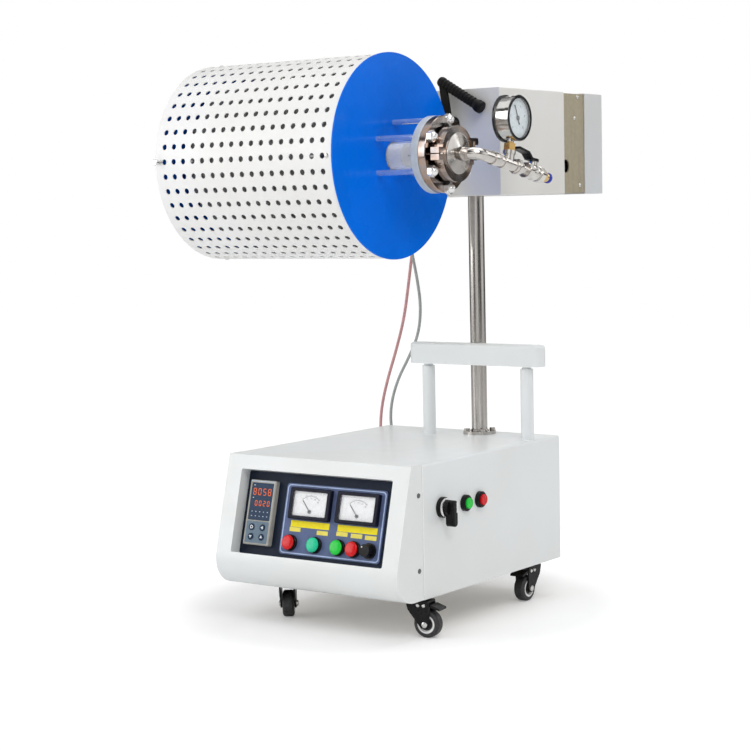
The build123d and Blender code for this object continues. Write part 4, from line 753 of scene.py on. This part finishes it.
class FURNACE_OT_leads(bpy.types.Operator):
    """Hang the heater lead and the sensor lead behind the column"""
    bl_idname = "furnace.leads"
    bl_label = "Loose leads"

    def execute(self, context):
        self.hang("heater_cable", HEATER_ROUTE, "heater_lead", "pink_sleeve", (0.76, 0.40, 0.41), 0.596)
        self.hang("sensor_cable", SENSOR_ROUTE, "sensor_lead", "grey_sleeve", (0.48, 0.51, 0.50), 0.579)
        return {"FINISHED"}

    def hang(self, name, route, node, slot, colour, length):
        curve = bpy.data.curves.new(name, "CURVE")
        curve.dimensions = "3D"
        curve.bevel_depth = 0.0025
        curve.bevel_resolution = 3
        curve.resolution_u = 8
        curve.use_fill_caps = True
        spline = curve.splines.new("NURBS")
        spline.points.add(len(route) - 1)
        for point, place in zip(spline.points, route):
            point.co = (*at(*place), 1)
        spline.order_u = 3
        spline.use_endpoint_u = True
        curve.materials.append(sleeve(f"{name} braid", colour))
        piece = bpy.data.objects.new(name, curve)
        bpy.context.scene.collection.objects.link(piece)
        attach(piece, "stand")
        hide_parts(node)


SEGMENTS = {
    "top": ((-1, 2), (1, 2)), "upper_left": ((-1, 2), (-1, 0)), "upper_right": ((1, 2), (1, 0)),
    "middle": ((-1, 0), (1, 0)), "lower_left": ((-1, 0), (-1, -2)), "lower_right": ((1, 0), (1, -2)),
    "bottom": ((-1, -2), (1, -2))}
DIGITS = {
    "0": ("top", "upper_left", "upper_right", "lower_left", "lower_right", "bottom"),
    "2": ("top", "upper_right", "middle", "lower_left", "bottom"),
    "5": ("top", "upper_left", "middle", "lower_right", "bottom"),
    "8": tuple(SEGMENTS)}


class FURNACE_OT_controller_face(bpy.types.Operator):
    """Fit the controller's display window, digits, lamps, key marks and keypad film"""
    bl_idname = "furnace.controller_face"
    bl_label = "Controller face"

    def execute(self, context):
        window = bmesh.new()
        add_plate(window, 40.4, 55, 0.4, 1.4, on_face(-101, 67, 10.98))
        finish_piece(window, "display_window", "stand", printed("display film", (0.012, 0.036, 0.085), 0.22))
        film = bmesh.new()
        add_plate(film, 41, 32, 0.25, 1.5, on_face(-101, 112.2, 9.98))
        finish_piece(film, "keypad_film", "stand", printed("keypad film", (0.15, 0.21, 0.27), 0.4))
        digits = bmesh.new()
        self.row(digits, "8058", -101, 52.5, 2.3, 9.2)
        self.row(digits, "0020", -98.5, 69.5, 1.75, 7.6)
        finish_piece(digits, "lit_digits", "stand", glowing_digits("lit segments", (0.92, 0.17, 0.03)))
        marks = bmesh.new()
        for down in (82, 88.5):
            for index in range(5):
                add_plate(marks, 2.0, 1.2, 0.15, 0.3, on_face(-101 + (index - 2) * 7.2, down, 10.58))
        for down in (43, 61.5):
            add_plate(marks, 2.6, 1.4, 0.15, 0.3, on_face(-116.5, down, 10.58))
        add_plate(marks, 44, 1.2, 0.15, 0.3, on_face(-101, 37, 9.98))
        finish_piece(marks, "lamp_marks", "stand", printed("pale print", (0.50, 0.60, 0.72)))
        self.key_marks()
        return {"FINISHED"}

    def row(self, shape, text, across, down, half, pitch):
        for index, character in enumerate(text):
            centre = across + (index - (len(text) - 1) / 2) * pitch
            place = on_face(centre, down, 10.58)
            for name in DIGITS[character]:
                start, end = (Vector(point) * half for point in SEGMENTS[name])
                gap = (end - start).normalized() * 0.35
                add_bar(shape, start + gap, end - gap, 0.95, 0.15, place)

    def key_marks(self):
        """A ring, an arrow back and arrows down and up on the four keys."""
        keys = bmesh.new()
        for side in (-1, 1):
            for row in (22, 36):
                add_lathe(keys, [(5.0, 0), (5.0, 0.25), (4.6, 0.5), (0, 0.5)],
                          on_face(-101 + side * 10, 83 + row, 9.2), 24)
        finish_piece(keys, "key_caps", "stand", printed("key print", (0.012, 0.035, 0.075), 0.3))
        marks = bmesh.new()
        add_lathe(marks, [(1.5, 0), (1.5, 0.15), (2.8, 0.15), (2.8, 0)], on_face(-111, 105, 8.68), 20)
        for across, down, turn in ((-91, 105, 0), (-111, 119, 90), (-91, 119, -90)):
            place = on_face(across, down, 8.68) @ Matrix.Rotation(math.radians(turn), 4, "Z")
            place = place @ Matrix.Translation((0, 0, 0.07 * MM)) @ Matrix.Rotation(math.radians(90), 4, "Z")
            bmesh.ops.create_cone(marks, cap_ends=True, segments=3, radius1=2.9 * MM, radius2=2.9 * MM,
                                  depth=0.15 * MM, matrix=place)
        finish_piece(marks, "key_marks", "stand", printed("white print", (0.8, 0.82, 0.85)))


class FURNACE_OT_meter_dials(bpy.types.Operator):
    """Fit the two meters with dials, scales, numbers and glass"""
    bl_idname = "furnace.meter_dials"
    bl_label = "Meter dials"

    def execute(self, context):
        faces = bmesh.new()
        scales = bmesh.new()
        covers = bmesh.new()
        for across in (-12, 73):
            add_plate(faces, 61, 35.4, 0.25, 1.0, on_face(across, 64, 13.98))
            hub = on_face(across, 64 + 11, 13.7)
            self.scale(scales, hub)
            add_plate(covers, 62, 36, 0.5, 1.2, on_face(across, 64, 11.2))
        finish_piece(faces, "meter_dials", "stand", printed("dial card", (0.95, 0.955, 0.97), 0.55))
        finish_piece(scales, "meter_scales", "stand", printed("scale ink", (0.10, 0.10, 0.11)))
        glass = Finish("meter glass")
        glass.colour(glass.mix(glass.noise(20, 2), (0.98, 0.99, 1.0), (0.94, 0.96, 0.98)))
        glass.rough(0.03)
        set_input(glass.shader, "Alpha", 0.05)
        glass.material.blend_method = "BLEND"
        finish_piece(covers, "meter_glass", "stand", glass.material)
        return {"FINISHED"}

    def scale(self, shape, hub):
        radius = 22.5
        ticks = 20
        for index in range(ticks + 1):
            angle = math.radians(90 + 42 - 84 * index / ticks)
            way = Vector((math.cos(angle), math.sin(angle)))
            long = 2.8 if index % 5 == 0 else 1.6
            add_bar(shape, way * radius, way * (radius + long), 0.3, 0.1, hub)
        points = [Vector((math.cos(a), math.sin(a))) * radius
                  for a in (math.radians(90 + 42 - 84 * i / 14) for i in range(15))]
        for first, last in zip(points, points[1:]):
            add_bar(shape, first, last, 0.32, 0.1, hub)
        for index, text in enumerate(("0", "5", "10", "15", "20")):
            angle = math.radians(90 + 42 - 84 * index / 4)
            way = Vector((math.cos(angle), math.sin(angle), 0)) * (radius - 3.0) * MM
            add_mesh(shape, numeral(text, 3.2, hub @ Matrix.Translation(way)))


class FURNACE_OT_panel_print(bpy.types.Operator):
    """Print the meter plate's pale border and stick on the blank yellow label strips"""
    bl_idname = "furnace.panel_print"
    bl_label = "Panel print"

    def execute(self, context):
        border = bmesh.new()
        add_frame(border, 177, 101, 1.7, 6, 0.15, on_face(28.5, 87, 18.0))
        finish_piece(border, "plate_border", "stand", printed("border print", (0.50, 0.62, 0.90)))
        strips = bmesh.new()
        for across, down, width, height in (
                (-11, 93.6, 70, 9.6), (74, 93.6, 70, 9.6)):
            add_plate(strips, width, height, 0.3, 0.6, on_face(across, down, 18.0))
        finish_piece(strips, "label_strips", "stand", printed("yellow label", (0.95, 0.79, 0.012), 0.35))
        tags = bmesh.new()
        for across, down in ((-37, 99.6), (13, 101.2), (48, 99.6), (74, 100.4), (99, 101.2)):
            add_plate(tags, 20, 6.2, 0.3, 0.5, on_face(across, down + 2.4, 18.0))
        finish_piece(tags, "label_tags", "stand", printed("pale yellow label", (0.90, 0.78, 0.14), 0.35))
        dot = bmesh.new()
        place = on_face(100, 122, 4.0) @ Matrix.Translation(Vector((-0.72, 0.69, 0)) * 6.6 * MM)
        add_lathe(dot, [(0, 0.4), (1.1, 0.4), (1.5, 0), (0, 0)], place, 16)
        finish_piece(dot, "knob_dot", "adjust_knob", printed("white dot", (0.85, 0.85, 0.85)))
        return {"FINISHED"}


class FURNACE_OT_gauge_dial(bpy.types.Operator):
    """Fit the pressure gauge's dial, scale, numbers, black rim and glass"""
    bl_idname = "furnace.gauge_dial"
    bl_label = "Gauge dial"

    def execute(self, context):
        centre = on_line(LINE_TEE, GAUGE_RISE)
        well = centre + Vector((9 * MM, 0, 0))
        place = basis(well, (0, 1, 0), (1, 0, 0))
        dial = bmesh.new()
        add_lathe(dial, [(2.0, 0.0), (2.0, 0.3), (29.2, 0.3), (29.2, 0)], place, 64)
        finish_piece(dial, "gauge_dial", "furnace", printed("gauge card", (0.80, 0.88, 0.92), 0.5))
        ink = bmesh.new()
        face = place @ Matrix.Translation((0, 0, 0.3 * MM))
        for index in range(41):
            angle = math.radians(225 - 270 * index / 40)
            way = Vector((math.cos(angle), math.sin(angle)))
            long = 4.0 if index % 5 == 0 else 2.2
            add_bar(ink, way * (26.5 - long), way * 26.5, 0.45 if index % 5 == 0 else 0.3, 0.1, face)
        for index, text in enumerate(("0", "2", "4", "6", "8", "10")):
            angle = math.radians(225 - 270 * index / 5)
            way = Vector((math.cos(angle), math.sin(angle), 0)) * 19 * MM
            add_mesh(ink, numeral(text, 4.8, face @ Matrix.Translation(way)))
        finish_piece(ink, "gauge_scale", "furnace", printed("gauge ink", (0.02, 0.02, 0.025)))
        rim = bmesh.new()
        add_lathe(rim, [(28.4, 0.3), (28.4, 4.3), (28.8, 4.8), (29.4, 4.8), (29.4, 0.3)], place, 64)
        finish_piece(rim, "gauge_rim", "furnace", moulded("gauge rim paint", (0.012, 0.012, 0.013), 0.25))
        glass = bmesh.new()
        add_lathe(glass, [(0, 4.1), (28.3, 4.1), (28.3, 3.9), (0, 3.9)], place, 64)
        clear = Finish("gauge glass")
        clear.colour(clear.mix(clear.noise(20, 2), (0.98, 0.99, 1.0), (0.94, 0.96, 0.98)))
        clear.rough(0.03)
        set_input(clear.shader, "Alpha", 0.12)
        clear.material.blend_method = "BLEND"
        finish_piece(glass, "gauge_glass", "furnace", clear.material)
        return {"FINISHED"}


class FURNACE_OT_screws(bpy.types.Operator):
    """Fit the screws of the drum, the bezel, the head and the cabinet's back"""
    bl_idname = "furnace.screws"
    bl_label = "Screws"

    def execute(self, context):
        size = context.scene.furnace_sizes.screw_head
        steel = polished("zinc screw", (0.66, 0.65, 0.62), 0.18, 90)
        drum = bmesh.new()
        low, high = (Vector(corner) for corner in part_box("perforated_shell"))
        axis = (low + high) / 2
        radius = (high.z - low.z) / 2
        for x in (low.x + 9 * MM, high.x - 9 * MM):
            for turn in range(4):
                angle = math.radians(turn * 90)
                out = Vector((0, -math.cos(angle), math.sin(angle)))
                place = basis(Vector((x, axis.y, axis.z)) + out * radius, (1, 0, 0), out)
                add_screw(drum, place, size, 0.34)
        finish_piece(drum, "drum_screws", "furnace", steel)
        stand = bmesh.new()
        bezel = bmesh.new()
        for y, z in ((-9, 207), (-10, 100)):
            add_screw(bezel, facing_x(125.2, y, z), size, 0.4)
            add_screw(bezel, facing_x(-203.2, y, z, -1), size, 0.4)
        blackened = polished("blackened screw", (0.16, 0.16, 0.16), 0.25, 90)
        finish_piece(bezel, "bezel_screws", "stand", blackened)
        for y, z in ((487, 779), (477, 746), (492, 640)):
            add_screw(stand, facing_x(105.2, y, z), size * 0.9)
        for x in (-190, -39, 112):
            for z in (70, 238):
                add_screw(stand, facing_y(x, 381, z, 1), size * 0.8)
        finish_piece(stand, "sheet_screws", "stand", steel)
        # Painted highlight strips on the cover's bent edges.
        self.paint_edge_highlight()
        return {"FINISHED"}

    def paint_edge_highlight(self):
        """Pale strip painted as the highlight on the cover's bent edge where it meets the bezel, on both
        sides.
        """
        edge = bmesh.new()
        for x, outward in ((126, 1), (-204, -1)):
            add_plate(edge, 1.4, 184, 0.12, 0.4, facing_x(x, 1.0, 154, outward))
        finish_piece(edge, "edge_highlight_strips", "stand", printed("painted edge highlight", (0.93, 0.95, 0.95), 0.3))


# How far each button stands from the panel's middle, in millimetres.
PANEL_BUTTONS = {"heater_off_button": -42, "heater_on_button": 3, "start_button": 45, "stop_button": 72.5}


class FURNACE_OT_button_caps(bpy.types.Operator):
    """Put the wide glossy lens caps on the four panel buttons"""
    bl_idname = "furnace.button_caps"
    bl_label = "Button caps"

    def execute(self, context):
        for node, across in PANEL_BUTTONS.items():
            cap = bmesh.new()
            add_lathe(cap, [(0, 9.7), (7.6, 9.6), (9.8, 9.0), (10.7, 8.0), (10.8, 7.2), (0, 7.2)],
                      on_face(across, 122, 18), 32)
            finish_piece(cap, f"{node}_cap", node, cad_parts[node].data.materials[0])
        return {"FINISHED"}


class FURNACE_OT_plug_hook(bpy.types.Operator):
    """Set the small wire hook in the face of the tube's fibre plug"""
    bl_idname = "furnace.plug_hook"
    bl_label = "Plug hook"

    def execute(self, context):
        steel = polished("hook wire", (0.62, 0.61, 0.58), 0.15, 90)
        hook = bmesh.new()
        face = at(58.5, 78, 684)
        add_lathe(hook, [(0, 7), (0.9, 7), (0.9, 0), (0, 0)], basis(face, (0, 0, 1), (1, 0, 0)), 12)
        ring = [(4.0 + 0.9 * math.cos(a), 0.9 * math.sin(a))
                for a in (math.radians(30 * i) for i in range(13))]
        add_lathe(hook, ring, basis(face + Vector((11 * MM, 0, 0)), (1, 0, 0), (0, -1, 0)), 24)
        finish_piece(hook, "plug_hook", "furnace", steel)
        return {"FINISHED"}


# Fork cheek from the wheel's middle, and rivets above the axle, in millimetres.
CHEEK_REACH = 12.0
RIVET_RISE = 27


class FURNACE_OT_caster_fittings(bpy.types.Operator):
    """Fit the casters' forks with axle bolts and rivets"""
    bl_idname = "furnace.caster_fittings"
    bl_label = "Caster fittings"

    def execute(self, context):
        steel = polished("axle steel", (0.66, 0.66, 0.64), 0.15, 80)
        for (row, side), direction in WHEEL_AXES.items():
            centre = middle(f"{row}_{side}_wheel")
            axis = Vector(direction)
            trail = Vector((axis.y, -axis.x, 0))
            bolts = bmesh.new()
            for way in (-1, 1):
                cheek = centre + axis * way * CHEEK_REACH * MM
                add_lathe(bolts, [(0, 2.9), (3.0, 2.9), (4.3, 2.1), (4.7, 0.5), (4.7, 0)],
                          basis(cheek, (0, 0, 1), axis * way), 20)
                for along in (-11, -2):
                    rivet = cheek + trail * along * MM + Vector((0, 0, RIVET_RISE * MM))
                    add_lathe(bolts, [(0, 1.3), (1.5, 1.1), (2.5, 0.5), (2.8, 0)],
                              basis(rivet, (0, 0, 1), axis * way), 16)
            finish_piece(bolts, f"{row}_{side}_axle_bolt", f"{row}_{side}_fork", steel)
        return {"FINISHED"}


class FURNACE_OT_side_switches(bpy.types.Operator):
    """Fit the rotary switch's pale ring and a pale strip painted as the highlight along the lever's edge"""
    bl_idname = "furnace.side_switches"
    bl_label = "Side switches"

    def execute(self, context):
        ring = bmesh.new()
        add_lathe(ring, [(11.5, 0), (11.5, 2.7), (13.0, 2.7), (13.9, 1.9), (13.9, 0)],
                  facing_x(133, 48, 183), 40)
        finish_piece(ring, "rotary_ring", "stand", polished("rotary ring chrome", (0.82, 0.82, 0.81), 0.2))
        # Pale strip near the lever's +Y edge, painted as the highlight that runs along that edge.
        highlight_strip = bmesh.new()
        face = facing_x(0, 50.8, 184)
        face.translation.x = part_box("rotary_switch_lever")[1][0]
        add_plate(highlight_strip, 2.0, 15, 0.25, 0.5, face)
        line = printed("painted highlight line", (0.85, 0.85, 0.84))
        finish_piece(highlight_strip, "rotary_lever_highlight", "rotary_switch_lever", line)
        return {"FINISHED"}


# Lamps: place and size in metres, power in watts. They look at the furnace's middle.
LAMPS = {
    "key_lamp": ((2.6, -2.2, 3.2), 2.2, 62),
    "fill_lamp": ((-2.6, -2.8, 1.6), 2.6, 52),
    "top_lamp": ((0.2, 0.6, 3.6), 2.4, 34),
    "back_lamp": ((1.6, 3.0, 2.0), 2.0, 16),
}
LAMP_TARGET = (0, 0, 0.45)
# The floor turns from lit paint to plain white between these distances from the cabinet's middle, in metres.
CABINET_MIDDLE = (-39, 175, 0)
FADE_START = 0.3
FADE_END = 0.75
# Camera: place in millimetres, turn, tilt and roll in degrees, focal length in millimetres.
CAMERA_PLACE = (1622.0, -2182.3, 609.1)
CAMERA_ANGLES = (35.8, -5.0, -1.2)
CAMERA_LENS = 91.2


class FURNACE_OT_stage(bpy.types.Operator):
    """Set the pale floor, the backdrop, the lamps and the camera"""
    bl_idname = "furnace.stage"
    bl_label = "Stage"

    def execute(self, context):
        scene = context.scene
        scene.view_settings.view_transform = "Standard"
        self.floor()
        self.world(scene)
        for name, (place, size, power) in LAMPS.items():
            self.lamp(name, place, size, power)
        self.camera(scene)
        return {"FINISHED"}

    def floor(self):
        shape = bmesh.new()
        bmesh.ops.create_grid(shape, x_segments=2, y_segments=2, size=6.0)
        mesh = bpy.data.meshes.new("floor")
        shape.to_mesh(mesh)
        shape.free()
        finish = Finish("pale floor")
        finish.colour(finish.mix(finish.noise(3, 2), (0.97, 0.97, 0.97), (0.95, 0.95, 0.95)))
        finish.rough(0.7)
        glow = finish.add("ShaderNodeEmission")
        glow.inputs["Color"].default_value = (1, 1, 1, 1)
        ray = finish.add("ShaderNodeLightPath")
        blend = finish.add("ShaderNodeMixShader")
        distance = finish.axis_distance(tuple(at(*CABINET_MIDDLE)), (0, 0, 1))
        far = finish.spread(distance, 0.1, 1.0, FADE_START, FADE_END)
        finish.link(finish.spread(distance, 2.0, 1.05, FADE_START, FADE_END), glow.inputs["Strength"])
        share = finish.maths("MULTIPLY", ray.outputs["Is Camera Ray"], far)
        finish.link(share, blend.inputs["Fac"])
        finish.link(finish.shader.outputs["BSDF"], blend.inputs[1])
        finish.link(glow.outputs["Emission"], blend.inputs[2])
        output = finish.tree.nodes["Material Output"]
        finish.link(blend.outputs["Shader"], output.inputs["Surface"])
        mesh.materials.append(finish.material)
        floor = bpy.data.objects.new("floor", mesh)
        bpy.context.scene.collection.objects.link(floor)

    def world(self, scene):
        """White to the camera, soft grey light for paint, and light and dark bands for metals to reflect."""
        world = bpy.data.worlds.new("studio")
        world.use_nodes = True
        tree = world.node_tree

        def maths(operation, first, second=0.0):
            node = tree.nodes.new("ShaderNodeMath")
            node.operation = operation
            for socket, value in zip(node.inputs, (first, second)):
                if isinstance(value, bpy.types.NodeSocket):
                    tree.links.new(value, socket)
                else:
                    socket.default_value = value
            return node.outputs["Value"]

        def between(share, low, high):
            rest = maths("MULTIPLY", maths("SUBTRACT", 1.0, share), low)
            return maths("ADD", rest, maths("MULTIPLY", share, high))

        ray = tree.nodes.new("ShaderNodeLightPath")
        split = tree.nodes.new("ShaderNodeSeparateXYZ")
        tree.links.new(tree.nodes.new("ShaderNodeTexCoord").outputs["Generated"], split.inputs["Vector"])
        turn = maths("ARCTAN2", split.outputs["Y"], split.outputs["X"])
        bands = tree.nodes.new("ShaderNodeMapRange")
        bands.inputs["From Min"].default_value = -0.35
        bands.inputs["From Max"].default_value = 0.35
        bands.inputs["To Min"].default_value = 0.05
        bands.inputs["To Max"].default_value = 1.0
        around = maths("SINE", maths("MULTIPLY", turn, 4.0))
        upward = maths("SINE", maths("MULTIPLY", split.outputs["Z"], 9.0))
        tree.links.new(maths("ADD", around, upward), bands.inputs["Value"])
        hidden = between(ray.outputs["Is Glossy Ray"], 0.42, bands.outputs["Result"])
        seen = maths("MAXIMUM", ray.outputs["Is Camera Ray"], ray.outputs["Is Transmission Ray"])
        background = tree.nodes["Background"]
        background.inputs["Color"].default_value = (1, 1, 1, 1)
        tree.links.new(between(seen, hidden, 1.0), background.inputs["Strength"])
        scene.world = world

    def lamp(self, name, place, size, power):
        light = bpy.data.lights.new(name, "AREA")
        light.energy = power
        light.size = size
        lamp = bpy.data.objects.new(name, light)
        lamp.location = place
        lamp.rotation_euler = (Vector(LAMP_TARGET) - Vector(place)).to_track_quat("-Z", "Y").to_euler()
        bpy.context.scene.collection.objects.link(lamp)

    def camera(self, scene):
        yaw, pitch, roll = (math.radians(angle) for angle in CAMERA_ANGLES)
        forward = Vector((-math.sin(yaw) * math.cos(pitch), math.cos(yaw) * math.cos(pitch), math.sin(pitch)))
        level = forward.cross(Vector((0, 0, 1))).normalized()
        upright = level.cross(forward)
        right = level * math.cos(roll) + upright * math.sin(roll)
        up = upright * math.cos(roll) - level * math.sin(roll)
        matrix = Matrix((right, up, -forward)).transposed().to_4x4()
        matrix.translation = at(*CAMERA_PLACE)
        data = bpy.data.cameras.new("camera")
        data.lens = CAMERA_LENS
        data.sensor_width = 36
        camera = bpy.data.objects.new("camera", data)
        camera.matrix_world = matrix
        scene.collection.objects.link(camera)
        scene.camera = camera


class FURNACE_PT_panel(bpy.types.Panel):
    """Buttons that dress the furnace, piece by piece"""
    bl_idname = "FURNACE_PT_panel"
    bl_label = "Tube furnace"
    bl_space_type = "VIEW_3D"
    bl_region_type = "UI"
    bl_category = "Furnace"

    def draw(self, context):
        for group in (context.scene.furnace_sizes, context.scene.furnace_colours):
            for name in group.bl_rna.properties.keys():
                if name not in ("rna_type", "name"):
                    self.layout.prop(group, name)
        for operator in OPERATORS:
            self.layout.operator(operator.bl_idname)


OPERATORS = (
    FURNACE_OT_dress_nodes, FURNACE_OT_perforated_shell, FURNACE_OT_leads, FURNACE_OT_controller_face,
    FURNACE_OT_meter_dials, FURNACE_OT_panel_print, FURNACE_OT_gauge_dial, FURNACE_OT_screws,
    FURNACE_OT_button_caps, FURNACE_OT_plug_hook, FURNACE_OT_caster_fittings, FURNACE_OT_side_switches,
    FURNACE_OT_stage)
CLASSES = (FurnaceSizes, FurnaceColours, *OPERATORS, FURNACE_PT_panel)


def register():
    for item in CLASSES:
        bpy.utils.register_class(item)
    bpy.types.Scene.furnace_sizes = bpy.props.PointerProperty(type=FurnaceSizes)
    bpy.types.Scene.furnace_colours = bpy.props.PointerProperty(type=FurnaceColours)


def unregister():
    del bpy.types.Scene.furnace_colours
    del bpy.types.Scene.furnace_sizes
    for item in reversed(CLASSES):
        bpy.utils.unregister_class(item)


def main():
    register()
    bpy.ops.furnace.dress_nodes()
    bpy.ops.furnace.perforated_shell()
    bpy.ops.furnace.leads()
    bpy.ops.furnace.controller_face()
    bpy.ops.furnace.meter_dials()
    bpy.ops.furnace.panel_print()
    bpy.ops.furnace.gauge_dial()
    bpy.ops.furnace.screws()
    bpy.ops.furnace.button_caps()
    bpy.ops.furnace.plug_hook()
    bpy.ops.furnace.caster_fittings()
    bpy.ops.furnace.side_switches()
    bpy.ops.furnace.stage()


if __name__ == "__main__":
    main()
